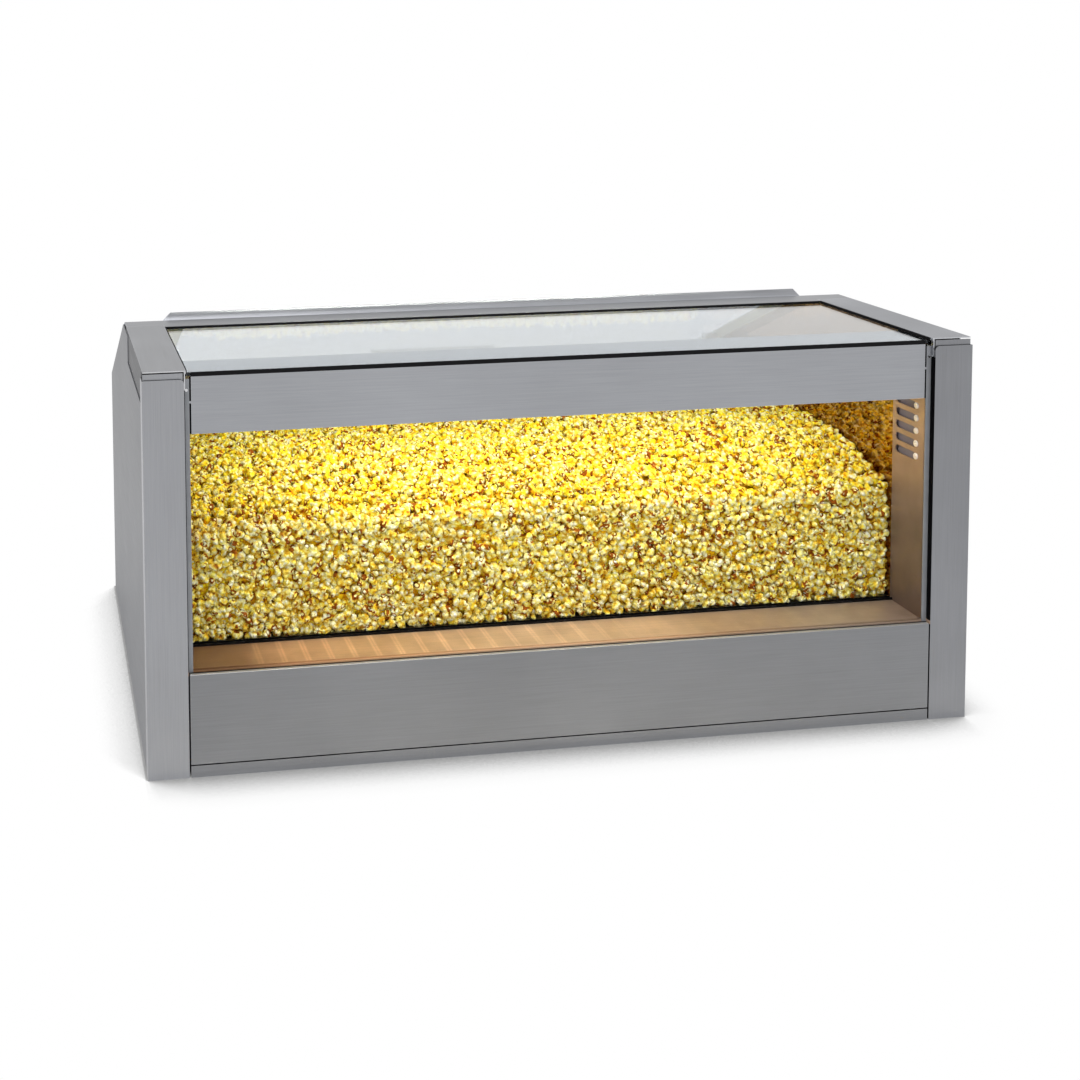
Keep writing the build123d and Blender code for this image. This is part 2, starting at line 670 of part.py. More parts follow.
def floor_screens():
    seam = BAY_HALF + SHEET / 2
    side = floor_panel(seam + SEAM, WALL_IN - SEAM)
    return group([*both_sides(side), floor_panel(-seam + SEAM, seam - SEAM)])


def floor_ledges():
    y0, y1 = CHANNEL_REAR, REAR_PLANE - SHEET
    ledge = block(WALL_IN - LEDGE_WIDTH, WALL_IN, y0, y1, FLOOR_LEVEL - SHEET, FLOOR_LEVEL)
    ledge += block(WALL_IN - SHEET, WALL_IN, y0, y1, FLOOR_LEVEL - LEDGE_WIDTH, FLOOR_LEVEL)
    return group(both_sides(ledge))


def bay_dividers():
    y0, y1 = CHANNEL_REAR, REAR_PLANE - SHEET
    middle = BAY_HALF + SHEET / 2
    web = block(BAY_HALF, BAY_HALF + SHEET, y0, y1, SHEET, FLOOR_LEVEL)
    half = DIVIDER_FLANGE / 2
    web += block(middle - half, middle + half, y0, y1, FLOOR_LEVEL - SHEET, FLOOR_LEVEL)
    return group(both_sides(web))


def rear_panel_screw_places():
    x = HALF - SHEET - SIDE_RETURN / 2
    levels = (REAR_SILL + PANEL_SCREW_EDGE, (REAR_SILL + REAR_HEIGHT) / 2, REAR_HEIGHT - PANEL_SCREW_EDGE)
    return [(side * x, REAR_FACE, z) for side in (-1, 1) for z in levels]


def rear_panel():
    outer = HALF - SHEET
    top = slope_line(REAR_FACE, SHEET) - SEAM
    panel = block(-outer, outer, BIN_REAR, REAR_FACE, REAR_SILL, top)
    panel += block(-outer, outer, REAR_PLANE - SHEET, REAR_FACE, REAR_SILL, FLOOR_LEVEL)
    return drill(panel, rear_panel_screw_places(), REARWARD)


def base_rear_screw_places():
    x = HALF - WALL_INSET / 2
    levels = (PANEL_SCREW_EDGE, REAR_SILL - PANEL_SCREW_EDGE)
    return [(side * x, REAR_PLANE, z) for side in (-1, 1) for z in levels]


def base_rear_panel():
    outer = HALF - SHEET
    y0, y1 = REAR_PLANE - SHEET, REAR_PLANE
    panel = block(-outer, outer, y0, y1, SHEET, REAR_SILL)
    for side in (-1, 1):
        x = side * DRAWER_MIDDLE
        half = DRAWER_OPENING / 2
        high = DRAWER_SILL + DRAWER_OPENING_HEIGHT
        panel -= block(x - half, x + half, y0 - SHEET, y1 + SHEET, DRAWER_SILL, high)
    half = CONTROL_HALF - CONTROL_LAP
    low, high = CONTROL_LOW + CONTROL_LAP, CONTROL_HIGH - CONTROL_LAP
    panel -= block(-half, half, y0 - SHEET, y1 + SHEET, low, high)
    return drill(panel, base_rear_screw_places() + control_screw_places(), REARWARD)


def control_screw_places():
    x = CONTROL_HALF - CONTROL_LAP / 2
    levels = (CONTROL_LOW + CONTROL_LAP, CONTROL_HIGH - CONTROL_LAP)
    return [(side * x, CONTROL_FACE, z) for side in (-1, 1) for z in levels]


def control_panel():
    y0, y1 = REAR_PLANE, CONTROL_FACE
    panel = block(-CONTROL_HALF, CONTROL_HALF, y0, y1, CONTROL_LOW, CONTROL_HIGH)
    half = SWITCH_HALF_WIDTH + SWITCH_WALL
    tall = SWITCH_HALF_HEIGHT + SWITCH_WALL
    for x in SWITCH_AT:
        panel -= block(x - half, x + half, y0 - CUT, y1 + CUT, SWITCH_LEVEL - tall, SWITCH_LEVEL + tall)
    panel -= rod_y(BUSHING_RADIUS + HOLE_PLAY, y0 - CUT, y1 + CUT, THERMOSTAT_AT, THERMOSTAT_LEVEL)
    panel -= rod_y(PILOT_RADIUS + HOLE_PLAY, y0 - CUT, y1 + CUT, PILOT_AT, PILOT_LEVEL)
    panel -= inlet_block(0, y0 - CUT, y1 + CUT)
    return drill(panel, control_screw_places(), REARWARD)


def panel_screws():
    """Pan-head screws of the rear panels, and small ones that lie flush in the trims."""
    places = rear_panel_screw_places() + base_rear_screw_places() + control_screw_places()
    screws = [Pos(*p) * REARWARD * screw() for p in places]
    flush = rod_y(SCREW_SHANK, VALANCE_FACE - SEAM, GLASS_FACE, 0, 0)
    return group(screws + [Pos(x, 0, z) * flush for x, y, z in trim_screw_places()])


def slope_frame():
    outer = HALF - SHEET
    plate = block(-outer, outer, SLOPE_EDGE, SLOPE_LENGTH - SLOPE_EDGE, -SHEET, 0)
    return SLOPE * (plate - block(-OPENING_HALF, OPENING_HALF, OPENING_FROM, OPENING_TO, -2 * SHEET, SHEET))


def lamp_inside(low, high):
    """A block that fills a lamp housing's inside between two levels."""
    half = LAMP_LENGTH / 2 - LAMP_WALL
    y0 = FRONT + LAMP_FROM
    return block(LAMP_AT - half, LAMP_AT + half, y0 + LAMP_WALL, y0 + LAMP_WIDTH - LAMP_WALL, low, high)


def lamp_levels():
    """Underside and top of the lamp housings, which hang from the valance's flange."""
    high = VALANCE_TOP - SHEET
    return high - LAMP_HEIGHT, high


def lamp_housings():
    low, high = lamp_levels()
    half = LAMP_LENGTH / 2
    y0 = FRONT + LAMP_FROM
    shell = block(LAMP_AT - half, LAMP_AT + half, y0, y0 + LAMP_WIDTH, low, high)
    return group(both_sides(shell - lamp_inside(low - CUT, high - LAMP_WALL)))


def led_boards():
    """A circuit board against the top of each housing, with its row of emitters below."""
    high = lamp_levels()[1] - LAMP_WALL
    board = lamp_inside(high - LAMP_WALL, high)
    y = FRONT + LAMP_FROM + LAMP_WIDTH / 2
    for i in range(LED_COUNT):
        x = LAMP_AT + (i - (LED_COUNT - 1) / 2) * LED_PITCH
        board += Pos(x, y, high - LAMP_WALL - LED_THICK / 2) * Box(LED_SIZE, LED_SIZE, LED_THICK)
    return group(both_sides(board))


def lamp_lenses():
    low = lamp_levels()[0]
    return group(both_sides(lamp_inside(low, low + LENS_THICK)))


def led_driver():
    """Power supply for the lamps: a grooved case on the base pan, under the deck."""
    x0, x1 = DRIVER_LEFT, DRIVER_LEFT + DRIVER_LENGTH
    y0 = FRONT + DRIVER_FROM
    high = SHEET + DRIVER_HEIGHT
    case = block(x0, x1, y0, y0 + DRIVER_WIDTH, SHEET, high)
    pitch = (DRIVER_WIDTH - 2 * DRIVER_EDGE) / (DRIVER_GROOVES - 1)
    half = DRIVER_GROOVE_WIDTH / 2
    for i in range(DRIVER_GROOVES):
        y = y0 + DRIVER_EDGE + i * pitch
        case -= block(x0, x1, y - half, y + half, high - DRIVER_GROOVE_DEPTH, high + CUT)
    return case


def knuckle(x0, x1):
    """A hinge knuckle in the slope's own frame."""
    return rod_x(KNUCKLE_RADIUS, x0, x1, HINGE_AT, HINGE_RISE)


def pin_bore(x0, x1):
    return rod_x(HINGE_PIN_RADIUS + HINGE_PLAY, x0 - CUT, x1 + CUT, HINGE_AT, HINGE_RISE)


def frame_hinge_leaves():
    """Fixed leaves on the top ledge: a flat foot, an upright web and two outer knuckles each."""
    leaves = []
    half = 1.5 * KNUCKLE_LENGTH
    web_face = HINGE_AT - KNUCKLE_RADIUS
    for x in HINGE_PLACES:
        leaf = block(x - half, x + half, HINGE_AT - FRAME_LEAF_LENGTH, HINGE_AT, 0, LEAF)
        inner = half - KNUCKLE_LENGTH + SEAM
        for x0, x1 in ((x - half, x - inner), (x + inner, x + half)):
            leaf += block(x0, x1, web_face, web_face + LEAF, 0, HINGE_RISE) + knuckle(x0, x1)
        leaves.append(SLOPE * (leaf - pin_bore(x - half, x + half)))
    return group(leaves)


def hinge_pins():
    """Each pin ends in a small head against its outer knuckles."""
    pins = []
    half = 1.5 * KNUCKLE_LENGTH
    for x in HINGE_PLACES:
        pin = rod_x(HINGE_PIN_RADIUS, x - half, x + half, HINGE_AT, HINGE_RISE)
        for x0 in (x - half - HINGE_PIN_HEAD_THICK, x + half):
            pin += rod_x(HINGE_PIN_HEAD, x0, x0 + HINGE_PIN_HEAD_THICK, HINGE_AT, HINGE_RISE)
        pins.append(SLOPE * pin)
    return group(pins)


def lid_hinge_leaves():
    """Moving leaves: a plate on top of the pane with the middle knuckle."""
    leaves = []
    half = KNUCKLE_LENGTH / 2
    wide = 1.5 * KNUCKLE_LENGTH
    end = HINGE_AT + LID_LEAF_LENGTH
    for x in HINGE_PLACES:
        leaf = block(x - half, x + half, HINGE_AT, end, LID_TOP, LID_TOP + LEAF)
        leaf += block(x - wide, x + wide, LID_TOP_EDGE, end, LID_TOP, LID_TOP + LEAF)
        leaf += knuckle(x - half, x + half)
        leaves.append(SLOPE * (leaf - pin_bore(x - half, x + half)))
    return group(leaves)


def lid_pane():
    half = OPENING_HALF + LID_LAP
    return SLOPE * block(-half, half, LID_TOP_EDGE, LID_END, LID_LIFT, LID_TOP)


def lid_handle():
    """A strip on the pane's lower edge that turns up into a lip for the fingers."""
    reach = LID_PULL_RISE
    slant = LID_PULL_SHEET * math.sqrt(0.5)
    bend = LID_PULL_SHEET * math.tan(math.radians(22.5))
    outline = (
        (LID_END - LID_PULL_LAP, LID_TOP),
        (LID_END, LID_TOP),
        (LID_END + reach, LID_TOP + reach),
        (LID_END + reach - slant, LID_TOP + reach + slant),
        (LID_END - bend, LID_TOP + LID_PULL_SHEET),
        (LID_END - LID_PULL_LAP, LID_TOP + LID_PULL_SHEET),
    )
    return SLOPE * side_plate(outline, -LID_PULL_LENGTH / 2, LID_PULL_LENGTH / 2)


def lid_rest_blocks():
    """Small angle blocks at the sides of the opening that locate the pane from below."""
    x = OPENING_HALF
    y0 = OPENING_TO - REST_BLOCK_TO_END
    y1 = y0 + REST_BLOCK
    rest = block(x - REST_BLOCK, x, y0, y1, -REST_BLOCK, 0)
    rest += block(x, x + REST_BLOCK, y0, y1, -REST_BLOCK, -SHEET)
    return group(SLOPE * s for s in both_sides(rest))


def bow_handle(length, reach):
    """A bow handle along X: a round grip on two legs, standing on the plane z = 0."""
    leg = length / 2 - HANDLE_ROD
    path = FilletPolyline((-leg, 0, 0), (-leg, 0, reach), (leg, 0, reach), (leg, 0, 0), radius=HANDLE_BEND)
    grip = sweep(Plane.XY * Pos(-leg, 0) * Circle(HANDLE_ROD), path=path)
    for x in (-leg, leg):
        grip += Pos(x, 0, HANDLE_FOOT / 2) * Cylinder(HANDLE_FOOT_RADIUS, HANDLE_FOOT)
    return grip


def drawer_runners():
    """Angles fixed to the base pan, one under each side of each drawer."""
    y0, y1 = REAR_PLANE - SHEET - DRAWER_DEPTH, REAR_PLANE - SHEET
    outer = DRAWER_MIDDLE + DRAWER_OPENING / 2
    runner = block(outer - SHEET, outer, y0, y1, SHEET, DRAWER_SILL + RUNNER_HEIGHT)
    runner += block(outer - RUNNER_LEDGE, outer, y0, y1, DRAWER_SILL, DRAWER_SILL + SHEET)
    inner_runner = mirror(runner, about=Plane.YZ.offset(DRAWER_MIDDLE))
    return group([*both_sides(runner), *both_sides(inner_runner)])


def drawer(side):
    """Crumb drawer: an open tray folded up from sheet, with its front plate."""
    x = side * DRAWER_MIDDLE
    half = DRAWER_OPENING / 2 - DRAWER_SIDE_GAP
    inside = half - DRAWER_SHEET
    y0, y1 = REAR_PLANE - DRAWER_DEPTH, REAR_PLANE
    low = DRAWER_SILL + SHEET + RUNNER_GAP
    high = low + DRAWER_HEIGHT
    tray = block(x - half, x + half, y0, y1, low, high)
    tray -= block(x - inside, x + inside, y0 + DRAWER_SHEET, y1, low + DRAWER_SHEET, RAIL_TOP)
    wide = DRAWER_OPENING / 2 + DRAWER_FRONT_LAP
    plate_low = DRAWER_SILL - DRAWER_FRONT_LAP
    plate_high = DRAWER_SILL + DRAWER_OPENING_HEIGHT + DRAWER_FRONT_LAP
    y_plate = REAR_PLANE + RUNNER_GAP
    tray += block(x - half, x + half, y1 - DRAWER_SHEET, y_plate, low, high)
    return tray + block(x - wide, x + wide, y_plate, y_plate + SHEET, plate_low, plate_high)


def drawer_handle(side):
    level = DRAWER_SILL + DRAWER_OPENING_HEIGHT / 2
    grip = bow_handle(DRAWER_HANDLE_LENGTH, HANDLE_REACH - HANDLE_ROD)
    return Pos(side * DRAWER_MIDDLE, REAR_PLANE + RUNNER_GAP + SHEET, level) * REARWARD * grip


def switch_bodies():
    """Switch housings: a well for the rocker, a bezel on the panel and three terminals behind."""
    bodies = []
    face, back = CONTROL_FACE, CONTROL_FACE - SWITCH_DEPTH
    w, h = SWITCH_HALF_WIDTH, SWITCH_HALF_HEIGHT
    half, tall = w + SWITCH_WALL, h + SWITCH_WALL
    rim, rim_tall = half + SWITCH_BEZEL, tall + SWITCH_BEZEL
    pin_half = w + SWITCH_WALL / 2
    body = block(-half, half, back, face, -tall, tall)
    body += block(-rim, rim, face, face + SWITCH_BEZEL_THICK, -rim_tall, rim_tall)
    body -= block(-w, w, face - SWITCH_WELL, face + SWITCH_BEZEL_THICK + CUT, -h, h)
    body -= rod_x(ROCKER_PIN + ROCKER_PIN_PLAY, -pin_half, pin_half, face, 0)
    wide, thick = TERMINAL_HALF_WIDTH, TERMINAL_HALF_THICK
    for z in (-TERMINAL_PITCH, 0, TERMINAL_PITCH):
        body += block(-wide, wide, back - TERMINAL_LENGTH, back, z - thick, z + thick)
    for x in SWITCH_AT:
        bodies.append(Pos(x, 0, SWITCH_LEVEL) * body)
    return group(bodies)


def rocker(x):
    """A rocker with a shallow V face and pivot pins, tipped to its off side."""
    tall = SWITCH_HALF_HEIGHT - ROCKER_END_GAP
    back_tall = tall - ROCKER_TAPER
    outline = (
        (ROCKER_RISE, -tall),
        (ROCKER_WAIST, 0),
        (ROCKER_RISE, tall),
        (-ROCKER_TAPER, back_tall),
        (-ROCKER_BACK, 0),
        (-ROCKER_TAPER, -back_tall),
    )
    half = SWITCH_HALF_WIDTH - ROCKER_SIDE_GAP
    key = side_plate(outline, -half, half)
    pin = SWITCH_HALF_WIDTH + SWITCH_WALL / 2 - ROCKER_SIDE_GAP
    key += rod_x(ROCKER_PIN, -pin, pin, 0, 0)
    return Pos(x, CONTROL_FACE, SWITCH_LEVEL) * Rot(ROCKER_TILT, 0, 0) * key


def thermostat_body():
    """Thermostat behind the panel, with its threaded bushing and nut through it."""
    front = REAR_PLANE - THERMOSTAT_GAP
    w, h = THERMOSTAT_HALF_WIDTH, THERMOSTAT_HALF_HEIGHT
    body = block(-w, w, front - THERMOSTAT_DEPTH, front, -h, h)
    body += rod_y(NUT_RADIUS, front, REAR_PLANE, 0, 0)
    body += rod_y(BUSHING_RADIUS, front, CONTROL_FACE + BUSHING_REACH, 0, 0)
    bore = SPINDLE_RADIUS + SPINDLE_PLAY
    bore_end = REAR_PLANE - SPINDLE_LENGTH - SPINDLE_END_GAP
    body -= rod_y(bore, bore_end, CONTROL_FACE + BUSHING_REACH + CUT, 0, 0)
    return Pos(THERMOSTAT_AT, 0, THERMOSTAT_LEVEL) * body


def thermostat_knob():
    """Fluted knob with its pointer line, hollow behind, on its spindle."""
    y0 = CONTROL_FACE + KNOB_GAP
    y1 = y0 + KNOB_LENGTH
    knob = rod_y(KNOB_RADIUS, y0, y1, 0, 0)
    knob = chamfer(knob.edges().group_by(Axis.Y)[-1], KNOB_BEVEL)
    for i in range(FLUTE_COUNT):
        angle = math.tau * (i + 0.5) / FLUTE_COUNT
        x, z = KNOB_RADIUS * math.cos(angle), KNOB_RADIUS * math.sin(angle)
        knob -= rod_y(FLUTE_RADIUS, y0 + FLUTE_FROM, y1 + CUT, x, z)
    knob -= rod_y(KNOB_RADIUS - KNOB_WALL, y0 - CUT, y0 + KNOB_HOLLOW, 0, 0)
    half = POINTER_HALF_WIDTH
    knob -= block(-half, half, y1 - POINTER_DEPTH, y1 + CUT, POINTER_FROM, KNOB_RADIUS)
    knob += rod_y(SPINDLE_RADIUS, REAR_PLANE - SPINDLE_LENGTH, y0 + KNOB_HOLLOW, 0, 0)
    return Pos(THERMOSTAT_AT, 0, THERMOSTAT_LEVEL) * knob


def pilot_lamp():
    """Barrel through the panel with a rim and a domed lens."""
    rim_face = CONTROL_FACE + PILOT_RIM
    lamp = rod_y(PILOT_RADIUS, REAR_PLANE - PILOT_DEPTH, CONTROL_FACE, 0, 0)
    lamp += rod_y(PILOT_RADIUS + PILOT_RIM, CONTROL_FACE, rim_face, 0, 0)
    dome = Pos(0, rim_face, 0) * Sphere(PILOT_RADIUS)
    dome -= block(-HALF, HALF, rim_face - 2 * PILOT_RADIUS, rim_face, -HALF, HALF)
    return Pos(PILOT_AT, 0, PILOT_LEVEL) * (lamp + dome)


def inlet_block(grow, y0, y1):
    """A block on the inlet's axis, larger than its body by grow on each side."""
    w, h = INLET_HALF_WIDTH + grow, INLET_HALF_HEIGHT + grow
    return block(INLET_AT - w, INLET_AT + w, y0, y1, INLET_LEVEL - h, INLET_LEVEL + h)


def power_inlet():
    """Three-pin appliance inlet: a flanged socket that opens to the rear."""
    face = CONTROL_FACE
    inlet = inlet_block(0, face - INLET_DEPTH, face)
    inlet += inlet_block(INLET_FLANGE, face, face + INLET_FLANGE_THICK)
    inlet -= inlet_block(-INLET_WALL, face - INLET_WELL, face + INLET_FLANGE_THICK + CUT)
    w, h = INLET_PIN_HALF_WIDTH, INLET_PIN_HALF_HEIGHT
    pin = block(-w, w, face - INLET_WELL, face - INLET_PIN_RECESS, -h, h)
    for x, z in INLET_PINS:
        inlet += Pos(INLET_AT + x, 0, INLET_LEVEL + z) * pin
    return inlet


def scroll(inset, y_end):
    """The blower's drum with its duct, as one solid, smaller by inset on each wall."""
    radius, half = SCROLL_RADIUS - inset, SCROLL_HALF - inset
    drum = rod_x(radius, -half, half, BLOWER_AXIS, BLOWER_LEVEL)
    return drum + block(-half, half, y_end, BLOWER_AXIS, DUCT_LOW + inset, DUCT_HIGH - inset)


def blower_housing():
    """Drum with a round inlet on one side and a duct forwards into the heater box, on two feet."""
    y = BLOWER_AXIS
    half = SCROLL_HALF
    shell = scroll(0, DUCT_FRONT) - scroll(SCROLL_WALL, DUCT_FRONT - CUT)
    shell -= rod_x(SCROLL_INLET, 0, half + CUT, y, BLOWER_LEVEL)
    shell -= rod_x(HUB_RADIUS + HUB_PLAY, -half - CUT, 0, y, BLOWER_LEVEL)
    feet = block(-half, half, y - FOOT_HALF, y + FOOT_HALF, SHEET, SHEET + FOOT_SHEET)
    leg_top = SHEET + BLOWER_FEET + FOOT_LEG_LAP
    leg = block(half, half + FOOT_SHEET, y - FOOT_LEG_HALF, y + FOOT_LEG_HALF, SHEET, leg_top)
    for side in both_sides(leg):
        feet += side
    feet -= rod_x(SCROLL_RADIUS, -half, half, y, BLOWER_LEVEL)
    return shell + feet


def blower_motor():
    inner = -SCROLL_HALF
    outer = inner - MOTOR_LENGTH
    motor = rod_x(MOTOR_RADIUS, outer, inner, BLOWER_AXIS, BLOWER_LEVEL)
    motor = fillet(motor.edges().group_by(Axis.X)[0], MOTOR_ROUNDING)
    bore = rod_x(SHAFT_RADIUS + SHAFT_PLAY, outer + MOTOR_END, inner + CUT, BLOWER_AXIS, BLOWER_LEVEL)
    return motor - bore


def blower_shaft():
    x0 = MOTOR_END + SHAFT_END_GAP - SCROLL_HALF - MOTOR_LENGTH
    return rod_x(SHAFT_RADIUS, x0, 0, BLOWER_AXIS, BLOWER_LEVEL)


def blower_wheel():
    """Squirrel-cage wheel: back disc, hub, front ring and straight leaning blades."""
    half = WHEEL_HALF
    inner = WHEEL_RADIUS - BLADE_CHORD
    wheel = rod_x(WHEEL_RADIUS, -half, BLADE_THICK - half, 0, 0)
    wheel += rod_x(HUB_RADIUS, -half, 0, 0, 0)
    ring = rod_x(WHEEL_RADIUS, half - BLADE_THICK, half, 0, 0)
    wheel += ring - rod_x(inner, 0, half + CUT, 0, 0)
    blade = block(-half, half, -BLADE_THICK / 2, BLADE_THICK / 2, 0, BLADE_CHORD - BLADE_THICK / 2)
    blade = Pos(0, 0, inner) * Rot(BLADE_LEAN, 0, 0) * blade
    for i in range(BLADE_COUNT):
        wheel += Rot(i * 360 / BLADE_COUNT, 0, 0) * blade
    wheel -= rod_x(SHAFT_RADIUS, -half - CUT, CUT, 0, 0)
    return Pos(0, BLOWER_AXIS, BLOWER_LEVEL) * wheel


def heater_box():
    """Sheet duct that carries the element, on two straps down to the pan."""
    half, wall = SCROLL_HALF, SCROLL_WALL
    inside = half - wall
    duct = block(-half, half, HEATER_FRONT, DUCT_FRONT, DUCT_LOW, DUCT_HIGH)
    duct -= block(-inside, inside, HEATER_FRONT - CUT, DUCT_FRONT + CUT, DUCT_LOW + wall, DUCT_HIGH - wall)
    for y in (HEATER_FRONT + HEATER_STRAP_FRONT, DUCT_FRONT - HEATER_STRAP_REAR):
        duct += block(-half, half, y, y + wall, SHEET, DUCT_LOW)
    return duct


def heater_element():
    """Finned rods that run the length of the duct, between two end plates on its walls."""
    half = SCROLL_HALF - SCROLL_WALL
    level = (DUCT_LOW + DUCT_HIGH) / 2
    y0, y1 = HEATER_FRONT + HEATER_END, DUCT_FRONT - HEATER_END
    element = rod_y(HEATER_ROD, y0, y1, 0, level)
    for rod in both_sides(rod_y(HEATER_ROD, y0, y1, HEATER_ROD_PITCH, level)):
        element += rod
    w, h = FIN_HALF_WIDTH, FIN_HALF_HEIGHT
    for i in range(1, int((y1 - y0) // FIN_PITCH)):
        y = y0 + i * FIN_PITCH
        element += block(-w, w, y, y + FIN_THICK, level - h, level + h)
    tall = PLATE_HALF_HEIGHT
    for y in (y0, y1 - PLATE_THICK):
        element += block(-half, half, y, y + PLATE_THICK, level - tall, level + tall)
    return element


def heap_crest():
    """The heap's top line from front to rear, as pairs of y and height."""
    y0, y1 = INNER_GLASS_REAR + HEAP_GAP, BIN_REAR - HEAP_GAP
    crest = [(y0 + along, INNER_GLASS_TOP + rise) for along, rise in HEAP_FRONT]
    return crest + [(y1 - along, INNER_GLASS_TOP + rise) for along, rise in HEAP_BACK]


def heap_stations():
    """The top line again, with points added until none lie further apart than the lumps."""
    crest = heap_crest()
    stations = crest[:1]
    for (y0, z0), (y1, z1) in zip(crest, crest[1:]):
        count = math.ceil((y1 - y0) / HEAP_PITCH)
        stations += [(y0 + (y1 - y0) * k / count, z0 + (z1 - z0) * k / count) for k in range(1, count + 1)]
    return stations


def flat_face(*corners):
    return Face(Wire.make_polygon([Vector(*c) for c in corners]))


def lump_height(i, j, length):
    """Lumps rise with the length of their cell, some more than others."""
    return HEAP_LUMP * min(1, length / HEAP_PITCH) * (0.8 + 0.2 * math.sin(1.7 * i + 2.9 * j))


def heap_top(xs, stations):
    """Four faces over each cell, up to a lump that lies off its middle."""
    faces = []
    for i, (x0, x1) in enumerate(zip(xs, xs[1:])):
        for j, ((ya, za), (yb, zb)) in enumerate(zip(stations, stations[1:])):
            x = (x0 + x1) / 2 + (x1 - x0) / 6 * math.sin(2.3 * i + 4.1 * j)
            peak = (x, (ya + yb) / 2, (za + zb) / 2 + lump_height(i, j, yb - ya))
            ring = [(x0, ya, za), (x1, ya, za), (x1, yb, zb), (x0, yb, zb)]
            faces += [flat_face(a, b, peak) for a, b in zip(ring, ring[1:] + ring[:1])]
    return faces


def popcorn_fill():
    """The heap of popcorn between the two walls, from the inner glass to the rear."""
    half = WALL_IN - HEAP_GAP
    stations = heap_stations()
    y0, y1 = stations[0][0], stations[-1][0]
    low = FLOOR_TOP + HEAP_GAP
    step = CHANNEL_REAR + HEAP_GAP
    lift = PANEL_TOP + CHANNEL_HEIGHT + HEAP_GAP
    foot = [stations[0], (y0, lift), (step, lift), (step, low), (y1, low), stations[-1]]
    columns = math.ceil(2 * half / HEAP_PITCH)
    xs = [2 * half * i / columns - half for i in range(columns + 1)]
    faces = heap_top(xs, stations)
    for x in (-half, half):
        faces.append(flat_face(*[(x, y, z) for y, z in foot + stations[-2:0:-1]]))
    for k, ((ya, za), (yb, zb)) in enumerate(zip(foot, foot[1:])):
        near = [(x, ya, za) for x in (xs if k == 0 else (-half, half))]
        far = [(x, yb, zb) for x in (xs if k == len(foot) - 2 else (-half, half))]
        faces.append(flat_face(*near, *reversed(far)))
    return Solid(Shell(faces))


def build():
    for name, make in (
        ("side_panel", right_side_panel),
        ("front_post", right_front_post),
        ("inner_wall", right_inner_wall),
        ("top_rail", right_top_rail),
    ):
        parts["right_" + name], parts["left_" + name] = both_sides(make())
    for make in (
        base_pan, rear_top_strip, rear_lip, top_glass, top_glass_gasket, front_valance, front_glass,
        front_seals, glass_trims, slot_studs, lower_front_panel, front_deck, inner_glass,
        inner_glass_channel, floor_screens, floor_ledges, bay_dividers, rear_panel, base_rear_panel,
        control_panel, panel_screws, slope_frame, lamp_housings, led_boards, lamp_lenses, led_driver,
        frame_hinge_leaves, hinge_pins, lid_hinge_leaves, lid_pane, lid_handle, lid_rest_blocks,
        drawer_runners, switch_bodies, thermostat_body, thermostat_knob, pilot_lamp, power_inlet,
        blower_housing, blower_motor, blower_shaft, blower_wheel, heater_box, heater_element, popcorn_fill,
    ):
        parts[make.__name__] = make()
    for side, name in ((-1, "left"), (1, "right")):
        parts[name + "_drawer"] = drawer(side)
        parts[name + "_drawer_handle"] = drawer_handle(side)
    for name, x in zip(SWITCH_NAMES, SWITCH_AT):
        parts[name + "_rocker"] = rocker(x)


build()
os.makedirs("parts", exist_ok=True)
for name, solid in parts.items():
    export_step(solid, f"parts/{name}.step")
print(len(parts), "nodes written")
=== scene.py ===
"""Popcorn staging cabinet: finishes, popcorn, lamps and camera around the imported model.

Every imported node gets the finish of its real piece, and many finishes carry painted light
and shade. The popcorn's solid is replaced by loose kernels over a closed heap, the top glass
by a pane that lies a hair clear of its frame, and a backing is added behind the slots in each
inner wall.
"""
import math

import bpy
import numpy as np
from mathutils import Matrix, Vector


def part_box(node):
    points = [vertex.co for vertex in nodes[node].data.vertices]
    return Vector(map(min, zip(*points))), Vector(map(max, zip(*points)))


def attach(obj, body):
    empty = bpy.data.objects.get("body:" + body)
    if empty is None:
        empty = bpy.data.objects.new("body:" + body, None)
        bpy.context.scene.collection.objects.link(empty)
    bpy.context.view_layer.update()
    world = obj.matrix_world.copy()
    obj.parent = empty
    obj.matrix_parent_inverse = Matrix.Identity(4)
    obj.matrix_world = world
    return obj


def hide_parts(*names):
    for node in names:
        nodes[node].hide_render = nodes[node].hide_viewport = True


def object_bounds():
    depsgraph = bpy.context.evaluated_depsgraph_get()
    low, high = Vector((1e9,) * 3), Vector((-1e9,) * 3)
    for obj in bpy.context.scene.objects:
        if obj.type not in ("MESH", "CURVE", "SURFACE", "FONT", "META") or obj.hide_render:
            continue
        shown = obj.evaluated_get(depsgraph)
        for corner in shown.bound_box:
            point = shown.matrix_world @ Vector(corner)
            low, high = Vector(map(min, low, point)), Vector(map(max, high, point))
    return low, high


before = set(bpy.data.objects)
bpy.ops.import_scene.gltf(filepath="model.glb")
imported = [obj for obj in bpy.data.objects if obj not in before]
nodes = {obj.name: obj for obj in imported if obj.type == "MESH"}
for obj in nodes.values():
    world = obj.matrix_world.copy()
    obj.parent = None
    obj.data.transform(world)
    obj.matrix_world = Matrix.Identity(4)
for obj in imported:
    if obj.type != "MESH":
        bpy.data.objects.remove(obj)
cad_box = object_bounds()

# Lengths are in metres and angles in degrees

# Camera: it stands left of the cabinet and looks a little down
CAMERA_AT = (-0.7574, -2.2758, 1.0344)
CAMERA_YAW = 7.234
CAMERA_PITCH = -3.805
CAMERA_ROLL = -0.785
CAMERA_LENS = 47.94
CAMERA_SHIFT = (0.3074, -0.3832)

